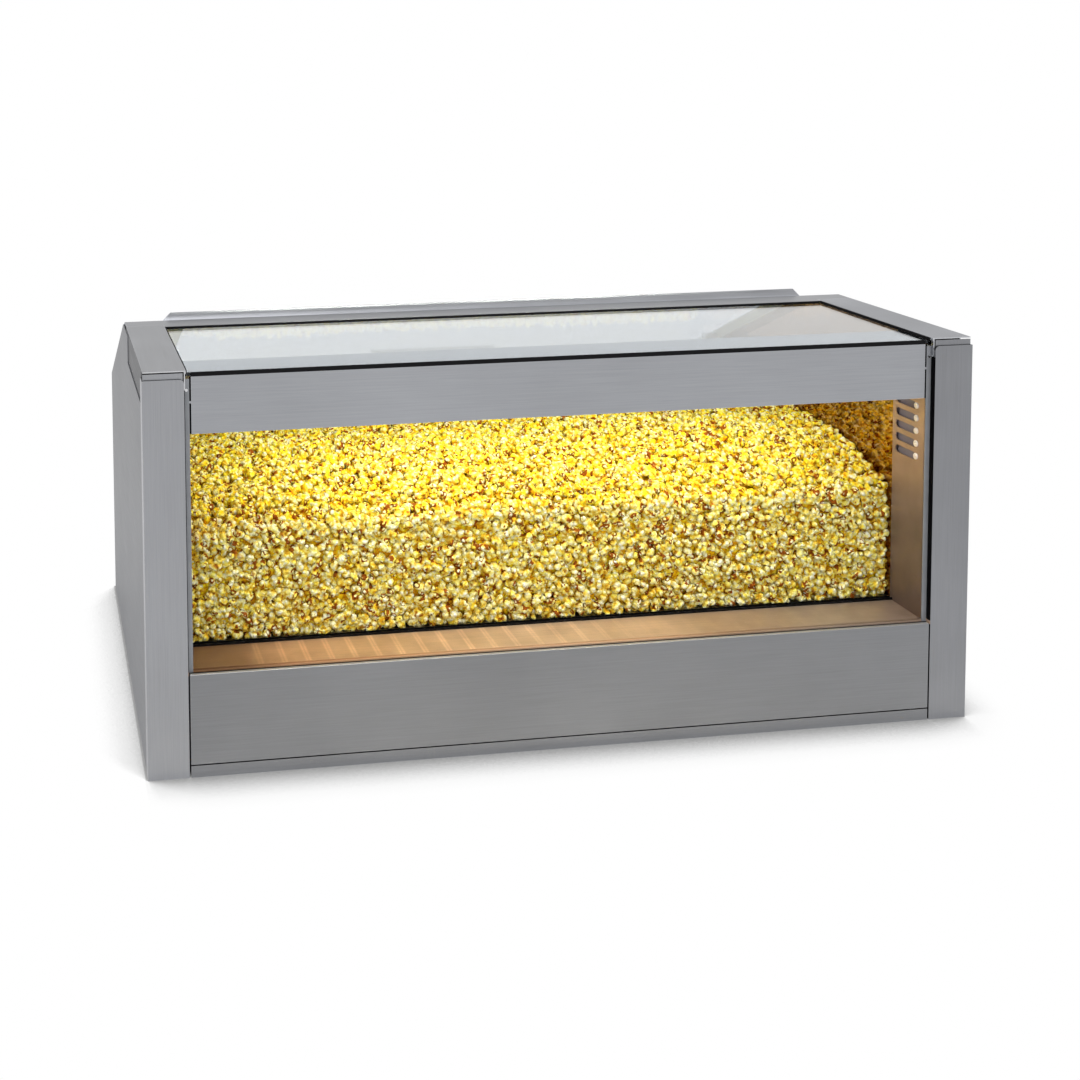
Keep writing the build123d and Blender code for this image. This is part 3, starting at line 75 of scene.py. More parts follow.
# Popcorn: its kernels
CORN_RADIUS = 0.0110
CORN_SMALLEST = 0.78  # share of the radius
CORN_SHAPES = 40
CORN_LOBES = (5, 9)  # the second number is never reached
LOBE_SIZES = (0.30, 0.55)
LOBE_OFFSETS = (0.88, 0.98)  # how far out a lobe sits, in its own radii
LOBE_ROUGHNESS = 0.07
CREASE_WIDTH = 0.16
HULL_SHARE = 0.55
PALE_MIX = (1.2, 3.0)  # the two numbers of the beta distribution
PALE_SPAN = 0.8
PALER_BEHIND_GLASS = 0.5
CORN_PIECE_FACES = 180000

# Popcorn: where the kernels lie
CORN_PITCH = 0.0121
CORN_JITTER = 0.0042
CORN_REACH = 0.0078  # from a wall to the middle of the kernels that touch it
UNDER_LAYER_PITCH = 1.15
TOP_LAYER = 0.003  # the top kernels' middles below the heap's level
TOP_JITTER = (-0.005, 0.004)
GLASS_JITTER = (-0.002, 0.003)
UNDER_LAYER = 0.006  # the second layer below the first one
REAR_LAYER = 0.007  # the second layer behind the one at the glass
LOWEST_CORN = 0.004
HEAP_MARGIN = 0.001  # how far the heap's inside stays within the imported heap
HEAP_FLOOR = 0.006
HEAP_COLUMNS = 120
HEAP_ROWS = 60
HEAP_SINK = 0.011
HEAP_SWELL = 0.003
LEFT_DIP = 0.018
LEFT_DIP_REACH = 0.12

# Popcorn: its skin
CORN_CURL = 140.0  # curls in each metre
CURL_WARP = 110.0
CURL_SHIFT = 0.0075
CURL_BUMP = 0.0035
CORN_VIVID = (
    (0.0, (0.60, 0.24, 0.003)),
    (0.22, (0.84, 0.43, 0.005)),
    (0.42, (0.97, 0.69, 0.010)),
    (0.66, (1.0, 0.88, 0.050)),
    (1.0, (1.0, 0.99, 0.74)),
)
CORN_PALE = (
    (0.0, (0.22, 0.09, 0.004)),
    (0.22, (0.56, 0.28, 0.013)),
    (0.42, (0.86, 0.62, 0.090)),
    (0.66, (0.97, 0.88, 0.40)),
    (1.0, (1.0, 0.98, 0.88)),
)
CORN_HUSK = (0.30, 0.075, 0.004)

# Deck: its tones from the left end to the right one, darker at both ends as painted shade and warm
# under the lamps as painted lamp light, and the streaks under the lamps, which are painted
# reflections of the lamps
DECK_TONES_AND_PAINTED_LIGHT = (
    (0.0, (0.25, 0.135, 0.07)),
    (0.07, (0.29, 0.16, 0.085)),
    (0.13, (0.55, 0.32, 0.18)),
    (0.25, (0.60, 0.38, 0.215)),
    (0.47, (0.62, 0.44, 0.30)),
    (0.64, (0.60, 0.42, 0.28)),
    (0.72, (0.44, 0.30, 0.20)),
    (0.87, (0.40, 0.31, 0.245)),
    (1.0, (0.33, 0.24, 0.19)),
)
STREAK_PITCH = 0.0341
STREAK_PHASE = 2 * math.pi * 0.4457 / STREAK_PITCH  # a crest lies 0.4457 left of the middle
STREAK_LIFT = 0.34
STREAKS_FROM = (-0.470, -0.450)
STREAKS_FADE = (-0.10, 0.16)
STREAK_REST = 0.12  # what is left of the streaks past their fade

# Lower panel's ledge, from the panel's front: a painted highlight, a black line along the seal,
# then the deck's tone and painted light
LEDGE_BRIGHT_TO = 0.0052
SEAL_LINE = (0.0056, 0.0090)
DECK_SHEET_FROM = 0.0094
SEAL_FOOT = 0.0030  # how far the deck's tone goes up and down from the foot of the front glass
SHEET_LIFT = 1.08
BLACK = (0.006, 0.006, 0.007)

# Inner walls: painted shade darkens them low down
WALL_DIM = 0.36  # what is left of the tone low down
WALL_DIM_BELOW = 0.26
WALL_LIT_ABOVE = 0.50

# Sheet steel
GRAIN_FINE = 520.0
GRAIN_LONG = 9.0
# radius of the painted highlights along the sheet's edges
EDGE_RADIUS = 0.0016
# the valance and the lower panel are one steel; their tones differ as painted light and shade
VALANCE_TONE = (0.325, 0.333, 0.353)
PANEL_TONE = (0.213, 0.217, 0.227)

# Top glass
GLASS_CLEAR = 0.0005
GLASS_ARRIS = 0.0008
GLASS_CORNER = 0.003
CORNER_POINTS = 6

# Slots' backings, behind the bin's walls
BACKING_GAP = 0.0009
BACKING_SHEET = 0.0008
BACKING_FROM = 0.034  # behind the case's front
BACKING_TO = 0.096
BACKING_LIP = 0.004
BACKING_PAST = 0.006  # past the lowest and the highest stud

# Lamps
LAMP_AT = 0.222
LED_PITCH = 0.040
LED_COUNT = 9
LED_POWER = 0.40
LED_COLOUR = (1.0, 0.90, 0.72)
LED_CONE = 172.0
LED_EDGE = 0.9
LED_SIZE = 0.004
LED_AIM = (0, 0.75, -1)

# Studio
AMBIENT = 0.80
KEY_AT = (-0.5, -1.3, 3.0)
KEY_AIM = (0, -0.2, 0.3)
KEY_SIZE = (1.8, 1.2)
KEY_POWER = 22.0
FLOOR_HALF = 30.0
FLOOR_WHITE = 0.92
FLOOR_MIRRORED = 0.24
SHADE_REACH = 0.13
OPEN_AT_WALL = 0.50  # how open the floor is at the foot of a wall, from 0 to 1
SHADE_AT_WALL = 0.30
SHADE_ENDS = 0.777  # the openness where the shade ends
LEFT_SHADE_AT_WALL = 0.50
LEFT_SHADE_ENDS = 0.60

rng = np.random.default_rng(48)


# Shader helpers

def new_material(name):
    """A material with its node tree and its Principled shader."""
    material = bpy.data.materials.new(name)
    material.use_nodes = True
    return material, material.node_tree, material.node_tree.nodes["Principled BSDF"]


def node(tree, kind, inputs=None, **settings):
    """A new node with its settings and its input values or links."""
    made = tree.nodes.new(kind)
    for key, value in settings.items():
        setattr(made, key, value)
    for key, value in (inputs or {}).items():
        if isinstance(value, bpy.types.NodeSocket):
            tree.links.new(value, made.inputs[key])
        else:
            made.inputs[key].default_value = value
    return made


def object_noise(tree, scale, detail=3.0, roughness=0.55, stretch=(1, 1, 1)):
    """Noise on Object coordinates, stretched along the axes; its value is from 0 to 1."""
    place = node(tree, "ShaderNodeTexCoord")
    mapped = node(tree, "ShaderNodeMapping", {"Vector": place.outputs["Object"], "Scale": stretch})
    noise = node(
        tree,
        "ShaderNodeTexNoise",
        {
            "Vector": mapped.outputs["Vector"],
            "Scale": scale,
            "Detail": detail,
            "Roughness": roughness,
        },
    )
    return noise.outputs["Fac"]


def remap(tree, value, low, high, start=0.3, end=0.7):
    """The value moved from the range start..end to low..high, and clamped."""
    made = node(
        tree,
        "ShaderNodeMapRange",
        {"Value": value, "From Min": start, "From Max": end, "To Min": low, "To Max": high},
    )
    return made.outputs["Result"]


def tinted(tree, base, factor):
    """The base colour, a value or a socket, times a factor that changes over the surface."""
    grey = node(tree, "ShaderNodeCombineXYZ", {"X": factor, "Y": factor, "Z": factor})
    made = node(
        tree,
        "ShaderNodeVectorMath",
        {0: base, 1: grey.outputs["Vector"]},
        operation="MULTIPLY",
    )
    return made.outputs["Vector"]


def product(tree, first, second):
    """Two values, multiplied."""
    return node(tree, "ShaderNodeMath", {0: first, 1: second}, operation="MULTIPLY").outputs[0]


def fill_ramp(ramp, stops):
    """Give a Color Ramp node its stops, each a place and a colour, and return its colour."""
    elements = ramp.color_ramp.elements
    while len(elements) < len(stops):
        elements.new(0.5)
    for element, (place, colour) in zip(elements, stops):
        element.position = place
        element.color = (*colour, 1)
    return ramp.outputs["Color"]


def blend(tree, factor, first, second):
    """The first colour where the factor is 0, and the second where it is 1."""
    values = {"Factor": factor, "A": first, "B": second}
    return node(tree, "ShaderNodeMix", values, data_type="RGBA").outputs[2]


def either(tree, first, second):
    """The higher of two values."""
    return node(tree, "ShaderNodeMath", {0: first, 1: second}, operation="MAXIMUM").outputs[0]


def bump(tree, height, distance, strength):
    """A normal that leans as the height changes over the surface."""
    values = {"Height": height, "Distance": distance, "Strength": strength}
    return node(tree, "ShaderNodeBump", values).outputs["Normal"]


def painted_edge_highlight(tree, lift):
    """A factor of 1 on the flats that rises where the sheet turns a corner: a painted highlight
    along the edges.
    """
    rounded = node(tree, "ShaderNodeBevel", {"Radius": EDGE_RADIUS}, samples=4)
    flat = node(tree, "ShaderNodeNewGeometry")
    level = node(
        tree,
        "ShaderNodeVectorMath",
        {0: rounded.outputs["Normal"], 1: flat.outputs["True Normal"]},
        operation="DOT_PRODUCT",
    )
    return remap(tree, level.outputs["Value"], 1 + lift, 1.0, 0.80, 0.985)


# Finishes

def brushed_steel(name, tone, grain="x", rough=0.34, blotch=0.05, edge=0.45, grazing=1.0):
    """Stainless sheet: grain lines along one axis over faint, wide clouds, with bright edges.

    Blotch is the strength of the clouds, edge that of the bright edges, which are painted
    highlights, and grazing what is left of the sheen where the sheet is seen from nearly along it.
    """
    material, tree, shader = new_material(name)
    stretch = [GRAIN_FINE / GRAIN_LONG] * 3
    stretch["xyz".index(grain)] = 1.0
    lines = object_noise(tree, GRAIN_LONG, detail=4.0, roughness=0.7, stretch=stretch)
    clouds = object_noise(tree, 5.0, detail=2.0)
    shade = remap(tree, clouds, 1 - blotch, 1 + blotch)
    shade = product(tree, remap(tree, lines, 0.93, 1.07), shade)
    # painted highlight: the base colour brightens along the edges
    shade = product(tree, shade, painted_edge_highlight(tree, edge))
    tree.links.new(tinted(tree, tone, shade), shader.inputs["Base Color"])
    tree.links.new(remap(tree, lines, rough - 0.06, rough + 0.08), shader.inputs["Roughness"])
    tree.links.new(bump(tree, lines, 0.00001, 0.4), shader.inputs["Normal"])
    shader.inputs["Metallic"].default_value = 1.0
    shader.inputs["Specular Tint"].default_value = (grazing, grazing, grazing, 1)
    return material


def second_tone(material, part, tone, metal):
    """Another tone and another share of metal where the part's factor is 1.

    The share is 1 where the factor is 0.
    """
    tree = material.node_tree
    shader = tree.nodes["Principled BSDF"]
    plain = shader.inputs["Base Color"].links[0].from_socket
    other = tone if isinstance(tone, bpy.types.NodeSocket) else (*tone, 1)
    tree.links.new(blend(tree, part, plain, other), shader.inputs["Base Color"])
    if metal < 1.0:
        tree.links.new(remap(tree, part, 1.0, metal, 0.0, 1.0), shader.inputs["Metallic"])
    return material


def along_axis(tree, axis):
    """The place along one axis, in metres."""
    place = node(tree, "ShaderNodeTexCoord")
    return node(tree, "ShaderNodeSeparateXYZ", {"Vector": place.outputs["Object"]}).outputs[axis]


def facing(tree, toward):
    """1 on the faces that look along the given direction, and 0 on those that look across it."""
    normal = node(tree, "ShaderNodeNewGeometry").outputs["True Normal"]
    level = node(tree, "ShaderNodeVectorMath", {0: normal, 1: toward}, operation="DOT_PRODUCT")
    return remap(tree, level.outputs["Value"], 0.0, 1.0, 0.5, 0.9)


def steel_with_painted_side(name, tone, grain, toward, painted_side_tone, grazing=1.0, metal=1.0):
    """Brushed steel whose faces that look along the given direction take another tone: painted
    light and shade for how light falls on that side.
    """
    material = brushed_steel(name, tone, grain, grazing=grazing)
    return second_tone(material, facing(material.node_tree, toward), painted_side_tone, metal)


def deck_tone_and_painted_light(tree, lift=1.0):
    """The deck's tone along the cabinet, times lift, with painted light: painted shade darkens both
    ends and painted warm lamp light lies under the lamps.
    """
    low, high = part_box("front_deck")
    along = remap(tree, along_axis(tree, "X"), 0.0, 1.0, low.x, high.x)
    tone = fill_ramp(node(tree, "ShaderNodeValToRGB", {"Fac": along}), DECK_TONES_AND_PAINTED_LIGHT)
    return tinted(tree, tone, lift)


def seal_rubber(name):
    """Black rubber, with the deck's tone and painted light painted along its foot."""
    material = rubber(name)
    tree = material.node_tree
    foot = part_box("front_glass")[0].z
    place = along_axis(tree, "Z")
    below = remap(tree, place, 1.0, 0.0, foot + SEAL_FOOT - 0.0005, foot + SEAL_FOOT)
    above = remap(tree, place, 0.0, 1.0, foot - SEAL_FOOT, foot - SEAL_FOOT + 0.0005)
    return second_tone(material, product(tree, below, above), deck_tone_and_painted_light(tree, SHEET_LIFT), 0.4)


def panel_sheet(name, tone, ledge):
    """The lower panel: its ledge has a painted highlight in front, is black along the seal, then
    takes the deck's tone and painted light.
    """
    material = brushed_steel(name, tone, "x")
    tree = material.node_tree
    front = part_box("lower_front_panel")[0].y
    place = along_axis(tree, "Y")
    line = remap(tree, place, 0.0, 1.0, front + LEDGE_BRIGHT_TO, front + SEAL_LINE[0])
    sheet = remap(tree, place, 0.0, 1.0, front + SEAL_LINE[1], front + DECK_SHEET_FROM)
    lined = blend(tree, line, (*ledge, 1), (*BLACK, 1))
    top = blend(tree, sheet, lined, deck_tone_and_painted_light(tree, SHEET_LIFT))
    return second_tone(material, facing(tree, (0, 0, 1)), top, 0.5)


def bin_wall(name, satin, polished):
    """Brushed in front of the inner glass, and polished by the popcorn behind it; painted shade
    darkens it low down.
    """
    material, tree, shader = new_material(name)
    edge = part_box("inner_glass")[1].y
    behind = remap(tree, along_axis(tree, "Y"), 0.0, 1.0, edge - 0.0005, edge + 0.0005)
    stains = remap(tree, object_noise(tree, 16.0), 0.84, 1.16)
    light = remap(tree, along_axis(tree, "Z"), WALL_DIM, 1.0, WALL_DIM_BELOW, WALL_LIT_ABOVE)
    lit = tinted(tree, satin, product(tree, stains, light))
    tree.links.new(blend(tree, behind, lit, (*polished, 1)), shader.inputs["Base Color"])
    tree.links.new(remap(tree, behind, 0.42, 0.030, 0.0, 1.0), shader.inputs["Roughness"])
    tree.links.new(remap(tree, behind, 0.55, 1.0, 0.0, 1.0), shader.inputs["Metallic"])
    return material


def steel_with_painted_streaks(name):
    """Sheet brushed across, so that each lamp above it draws a pair of pale streaks.

    The streaks are painted reflections of the lamps: a cosine along X with the pitch of the lamps,
    cut to its crest, less the narrow middle of the crest. They fade towards the right.
    """
    material, tree, shader = new_material(name)
    along = along_axis(tree, "X")
    turn = node(
        tree,
        "ShaderNodeMath",
        {0: along, 1: 2 * math.pi / STREAK_PITCH, 2: STREAK_PHASE},
        operation="MULTIPLY_ADD",
    )
    wave = node(tree, "ShaderNodeMath", {0: turn.outputs[0]}, operation="COSINE").outputs[0]
    crest = remap(tree, wave, 0.0, STREAK_LIFT, 0.55, 0.92)
    middle = remap(tree, wave, 1.0, 0.45, 0.93, 1.0)
    fade = remap(tree, along, 1.0, STREAK_REST, *STREAKS_FADE)
    fade = product(tree, fade, remap(tree, along, 0.0, 1.0, *STREAKS_FROM))
    ragged = remap(tree, object_noise(tree, 60.0, stretch=(1, 0.25, 1)), 0.55, 1.3)
    painted_streak = product(tree, product(tree, crest, middle), product(tree, fade, ragged))
    lift = node(tree, "ShaderNodeMath", {0: painted_streak, 1: 1.0}, operation="ADD").outputs[0]
    fine = object_noise(tree, 6.0, detail=4.0, roughness=0.7, stretch=(1, 60, 60))
    stains = remap(tree, object_noise(tree, 22.0), 0.88, 1.10)
    shade = product(tree, product(tree, lift, stains), remap(tree, fine, 0.90, 1.10))
    tree.links.new(tinted(tree, deck_tone_and_painted_light(tree), shade), shader.inputs["Base Color"])
    tree.links.new(remap(tree, fine, 0.30, 0.42), shader.inputs["Roughness"])
    shader.inputs["Metallic"].default_value = 0.45
    return material


def clear_pane(name, tint, index, sheen=(1, 1, 1)):
    """Clear sheet: glass to the eye, and open to the light of the lamps."""
    material, tree, shader = new_material(name)
    shader.inputs["Base Color"].default_value = (*tint, 1)
    shader.inputs["Transmission Weight"].default_value = 1.0
    shader.inputs["Roughness"].default_value = 0.02
    shader.inputs["IOR"].default_value = index
    shader.inputs["Specular Tint"].default_value = (*sheen, 1)
    rays = node(tree, "ShaderNodeLightPath")
    open_to_light = node(tree, "ShaderNodeBsdfTransparent", {"Color": (*tint, 1)})
    mix = node(tree, "ShaderNodeMixShader", {"Fac": rays.outputs["Is Shadow Ray"]})
    tree.links.new(shader.outputs["BSDF"], mix.inputs[1])
    tree.links.new(open_to_light.outputs["BSDF"], mix.inputs[2])
    tree.links.new(mix.outputs["Shader"], tree.nodes["Material Output"].inputs["Surface"])
    return material


def moulded(name, colour, rough, grain_scale=900.0, metal=0.0, gloss=0.5):
    """Rubber, plastic or paint: an even colour with slight mottling and a fine skin."""
    material, tree, shader = new_material(name)
    mottle = object_noise(tree, 40.0, detail=2.0)
    skin = object_noise(tree, grain_scale, detail=2.0)
    mottled = tinted(tree, colour, remap(tree, mottle, 0.92, 1.08))
    tree.links.new(mottled, shader.inputs["Base Color"])
    tree.links.new(remap(tree, skin, rough - 0.05, rough + 0.08), shader.inputs["Roughness"])
    tree.links.new(bump(tree, skin, 0.00005, 0.4), shader.inputs["Normal"])
    shader.inputs["Metallic"].default_value = metal
    shader.inputs["Specular IOR Level"].default_value = gloss
    return material


def rubber(name):
    """Matt black rubber."""
    return moulded(name, BLACK, 0.75, gloss=0.12)


def curls(tree):
    """Warped cells a few millimetres wide: the way to each cell's middle, and its dice."""
    place = node(tree, "ShaderNodeTexCoord").outputs["Object"]
    warp = node(tree, "ShaderNodeTexNoise", {"Vector": place, "Scale": CURL_WARP, "Detail": 1.0})
    shift = node(
        tree,
        "ShaderNodeVectorMath",
        {0: warp.outputs["Color"], 1: (CURL_SHIFT,) * 3, 2: place},
        operation="MULTIPLY_ADD",
    )
    cells = node(
        tree,
        "ShaderNodeTexVoronoi",
        {"Vector": shift.outputs["Vector"], "Scale": CORN_CURL, "Randomness": 1.0},
    )
    return cells.outputs["Distance"], cells.outputs["Color"]


def popped_corn(name):
    """Popped corn: pale curls, buttery flanks, brown creases and a few red-brown hulls.

    The level that picks the tone is a share of the curl, which is highest in the middle of its
    cell, and a share of the kernel's own height there. So creases and low places are darker: partly
    the corn's own colour, partly painted shade.
    """
    material, tree, shader = new_material(name)
    seen = node(tree, "ShaderNodeAttribute", attribute_name="corn", attribute_type="GEOMETRY")
    parts = node(tree, "ShaderNodeSeparateColor", {"Color": seen.outputs["Color"]})
    pale, height, hull = (parts.outputs[k] for k in ("Red", "Green", "Blue"))
    off, dice = curls(tree)
    dice = node(tree, "ShaderNodeSeparateColor", {"Color": dice})
    curl = remap(tree, off, 1.0, 0.0, 0.18, 0.78)
    level = node(
        tree,
        "ShaderNodeMath",
        {0: curl, 1: 0.48, 2: product(tree, height, 0.56)},
        operation="MULTIPLY_ADD",
    )
    vivid, dusty = (
        fill_ramp(node(tree, "ShaderNodeValToRGB", {"Fac": level.outputs[0]}), stops)
        for stops in (CORN_VIVID, CORN_PALE)
    )
    paler = node(
        tree,
        "ShaderNodeMath",
        {0: pale, 1: remap(tree, dice.outputs["Red"], -0.25, 0.35, 0.1, 0.9)},
        operation="ADD",
        use_clamp=True,
    )
    flesh = blend(tree, paler.outputs[0], vivid, dusty)
    husk = remap(tree, dice.outputs["Green"], 0.0, 1.0, 0.86, 0.88)
    husk = product(tree, husk, remap(tree, off, 0.0, 1.0, 0.30, 0.42))
    skin = blend(tree, either(tree, husk, hull), flesh, (*CORN_HUSK, 1))
    tree.links.new(skin, shader.inputs["Base Color"])
    tree.links.new(bump(tree, curl, CURL_BUMP, 1.0), shader.inputs["Normal"])
    shader.inputs["Roughness"].default_value = 0.65
    shader.inputs["Specular IOR Level"].default_value = 0.10
    return material


def glowing(name, colour, strength):
    """A lit lens or emitter."""
    material, tree, shader = new_material(name)
    specks = object_noise(tree, 300.0)
    tree.links.new(tinted(tree, colour, remap(tree, specks, 0.9, 1.0)), shader.inputs["Base Color"])
    shader.inputs["Emission Color"].default_value = (*colour, 1)
    shader.inputs["Emission Strength"].default_value = strength
    return material


# The stainless parts are one steel; their tones differ from part to part as painted light and
# shade, for how light falls on each part
FINISHES = {
    # the valance's top faces, under the glass, take a darker tone: painted shade
    "valance_steel": lambda n: steel_with_painted_side(n, VALANCE_TONE, "x", (0, 0, 1), (0.215, 0.220, 0.232)),
    "panel_steel": lambda n: panel_sheet(n, PANEL_TONE, (0.42, 0.425, 0.44)),
    "pan_steel": lambda n: brushed_steel(n, PANEL_TONE, "x"),
    "left_post_steel": lambda n: brushed_steel(n, (0.310, 0.315, 0.332), "z", edge=0.10),
    "right_post_steel": lambda n: brushed_steel(
        n, (0.232, 0.236, 0.250), "z", blotch=0.09, edge=0.2
    ),
    # the rail's faces that look left take a darker tone: painted shade
    "left_rail_steel": lambda n: steel_with_painted_side(
        n, (0.480, 0.485, 0.500), "y", (-1, 0, 0), (0.150, 0.152, 0.160), grazing=0.56
    ),
    "right_rail_steel": lambda n: brushed_steel(
        n, (0.430, 0.438, 0.460), "y", blotch=0.14, grazing=0.66
    ),
    "strip_steel": lambda n: brushed_steel(n, (0.250, 0.254, 0.268), "x"),
    "lip_steel": lambda n: brushed_steel(n, (0.580, 0.588, 0.610), "x", edge=0.20),
    "side_steel": lambda n: brushed_steel(n, (0.290, 0.294, 0.310), "y", edge=0.15, grazing=0.60),
    "rear_steel": lambda n: brushed_steel(n, (0.330, 0.335, 0.350), "x"),
    # the slope frame's downward faces take a pale bluish, less metallic tone: painted light
    "slope_steel": lambda n: steel_with_painted_side(
        n, (0.480, 0.485, 0.500), "x", (0, -0.42, -0.91), (0.66, 0.82, 1.0), metal=0.1
    ),
    "bin_steel": lambda n: brushed_steel(n, (0.520, 0.470, 0.400), "y", rough=0.30),
    "wall_steel": lambda n: bin_wall(n, (0.62, 0.44, 0.36), (0.46, 0.29, 0.16)),
    "deck_steel": steel_with_painted_streaks,
    "trim_steel": lambda n: moulded(n, (0.27, 0.28, 0.30), 0.5, metal=0.2),
    "bright_steel": lambda n: brushed_steel(n, (0.560, 0.565, 0.580), "x", rough=0.22),
    # the studs' near-white warm tone is a painted highlight of the lamps' light
    "stud_steel": lambda n: moulded(n, (0.96, 0.88, 0.84), 0.30, metal=0.35),
    "backing_grey": lambda n: moulded(n, (0.225, 0.195, 0.230), 0.6),
    "galvanised": lambda n: moulded(n, (0.50, 0.52, 0.54), 0.40, 120.0, metal=1.0),
    "glass": lambda n: clear_pane(n, (0.88, 0.95, 1.0), 1.45, sheen=(0.86, 0.93, 1.0)),
    "still_glass": lambda n: clear_pane(n, (0.985, 0.995, 0.990), 1.02),
    "polycarbonate": lambda n: clear_pane(n, (0.955, 0.965, 0.985), 1.50),
    "rubber": rubber,
    "seal_rubber": seal_rubber,
    "black_plastic": lambda n: moulded(n, (0.022, 0.022, 0.024), 0.38),
    "motor_paint": lambda n: moulded(n, (0.030, 0.031, 0.034), 0.45),
    "lamp_aluminium": lambda n: moulded(n, (0.66, 0.67, 0.69), 0.36, 300.0, metal=1.0),
    "lamp_board": lambda n: moulded(n, (0.85, 0.85, 0.80), 0.40),
    "lamp_lens": lambda n: glowing(n, LED_COLOUR, 2.0),
    "pilot_red": lambda n: glowing(n, (0.80, 0.07, 0.04), 0.6),
}

WORN_BY = {
    "valance_steel": "front_valance",
    "panel_steel": "lower_front_panel",
    "pan_steel": "base_pan",
    "left_post_steel": "left_front_post",
    "right_post_steel": "right_front_post",
    "left_rail_steel": "left_top_rail",
    "right_rail_steel": "right_top_rail",
    "strip_steel": "rear_top_strip",
    "lip_steel": "rear_lip",
    "side_steel": "left_side_panel right_side_panel",
    "rear_steel": "rear_panel base_rear_panel control_panel left_drawer right_drawer",
    "slope_steel": "slope_frame",
    "wall_steel": "left_inner_wall right_inner_wall",
    "trim_steel": "glass_trims",
    "bin_steel": "floor_screens floor_ledges bay_dividers drawer_runners",
    "deck_steel": "front_deck",
    "stud_steel": "slot_studs",
    "bright_steel": "panel_screws frame_hinge_leaves hinge_pins lid_hinge_leaves lid_handle"
                    " lid_rest_blocks left_drawer_handle right_drawer_handle blower_shaft",
    "galvanised": "blower_housing blower_wheel heater_box heater_element",
    "still_glass": "front_glass inner_glass",
    "polycarbonate": "lid_pane",
    "rubber": "top_glass_gasket inner_glass_channel",
    "seal_rubber": "front_seals",
    "black_plastic": "switch_bodies power_rocker blower_rocker light_rocker thermostat_body"
                     " thermostat_knob power_inlet",
    "motor_paint": "blower_motor",
    "lamp_aluminium": "lamp_housings led_driver",
    "lamp_board": "led_boards",
    "lamp_lens": "lamp_lenses",
    "pilot_red": "pilot_lamp",
}


def dress_nodes():
    """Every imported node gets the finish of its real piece."""
    for finish, names in WORN_BY.items():
        material = FINISHES[finish](finish)
        for name in names.split():
            slots = nodes[name].material_slots
            for slot in slots:
                slot.material = material
            if not slots:
                nodes[name].data.materials.append(material)


# Meshes

def mesh_piece(name, points, faces, material, smooth=True):
    """A mesh object from arrays of points and faces of one size."""
    mesh = bpy.data.meshes.new(name)
    mesh.vertices.add(len(points))
    mesh.vertices.foreach_set("co", np.asarray(points, np.float32).ravel())
    sides = faces.shape[1]
    mesh.loops.add(faces.size)
    mesh.loops.foreach_set("vertex_index", faces.astype(np.int32).ravel())
    mesh.polygons.add(len(faces))
    mesh.polygons.foreach_set("loop_start", np.arange(0, faces.size, sides, dtype=np.int32))
    mesh.polygons.foreach_set("use_smooth", np.full(len(faces), smooth))
    mesh.update(calc_edges=True)
    mesh.validate()
    mesh.materials.append(material)
    piece = bpy.data.objects.new(name, mesh)
    bpy.context.scene.collection.objects.link(piece)
    return piece


# Popcorn

def icosahedron():
    """Twelve points on the unit sphere and the twenty faces between them.

    With g the golden ratio, the points are (+-1, +-g, 0) and the same with their three numbers
    moved round once and twice, all scaled to the sphere. Three points that are near each other
    make a face.
    """
    g = (1 + 5 ** 0.5) / 2
    ring = [(-1, g, 0), (1, g, 0), (-1, -g, 0), (1, -g, 0)]
    once = [(z, x, y) for x, y, z in ring]
    twice = [(y, z, x) for x, y, z in ring]
    points = np.array(ring + once + twice, float)
    points /= np.linalg.norm(points[0])
    gaps = np.linalg.norm(points[:, None] - points[None], axis=2)
    near = gaps < 1.2
    faces = []
    for a in range(12):
        for b in range(a + 1, 12):
            for c in range(b + 1, 12):
                if near[a, b] and near[b, c] and near[a, c]:
                    out = np.cross(points[b] - points[a], points[c] - points[a]) @ points[a]
                    faces.append((a, b, c) if out > 0 else (a, c, b))
    return points, np.array(faces)


def split_faces(points, faces):
    """Every face split in four, with the new points pushed out to the unit sphere."""
    known, points = {}, [tuple(p) for p in points]

    def middle(a, b):
        key = (min(a, b), max(a, b))
        if key not in known:
            known[key] = len(points)
            halfway = np.add(points[a], points[b])
            points.append(tuple(halfway / np.linalg.norm(halfway)))
        return known[key]

    split = []
    for a, b, c in faces:
        ab, bc, ca = middle(a, b), middle(b, c), middle(c, a)
        split += [(a, ab, ca), (b, bc, ab), (c, ca, bc), (ab, bc, ca)]
    return np.array(points), np.array(split)


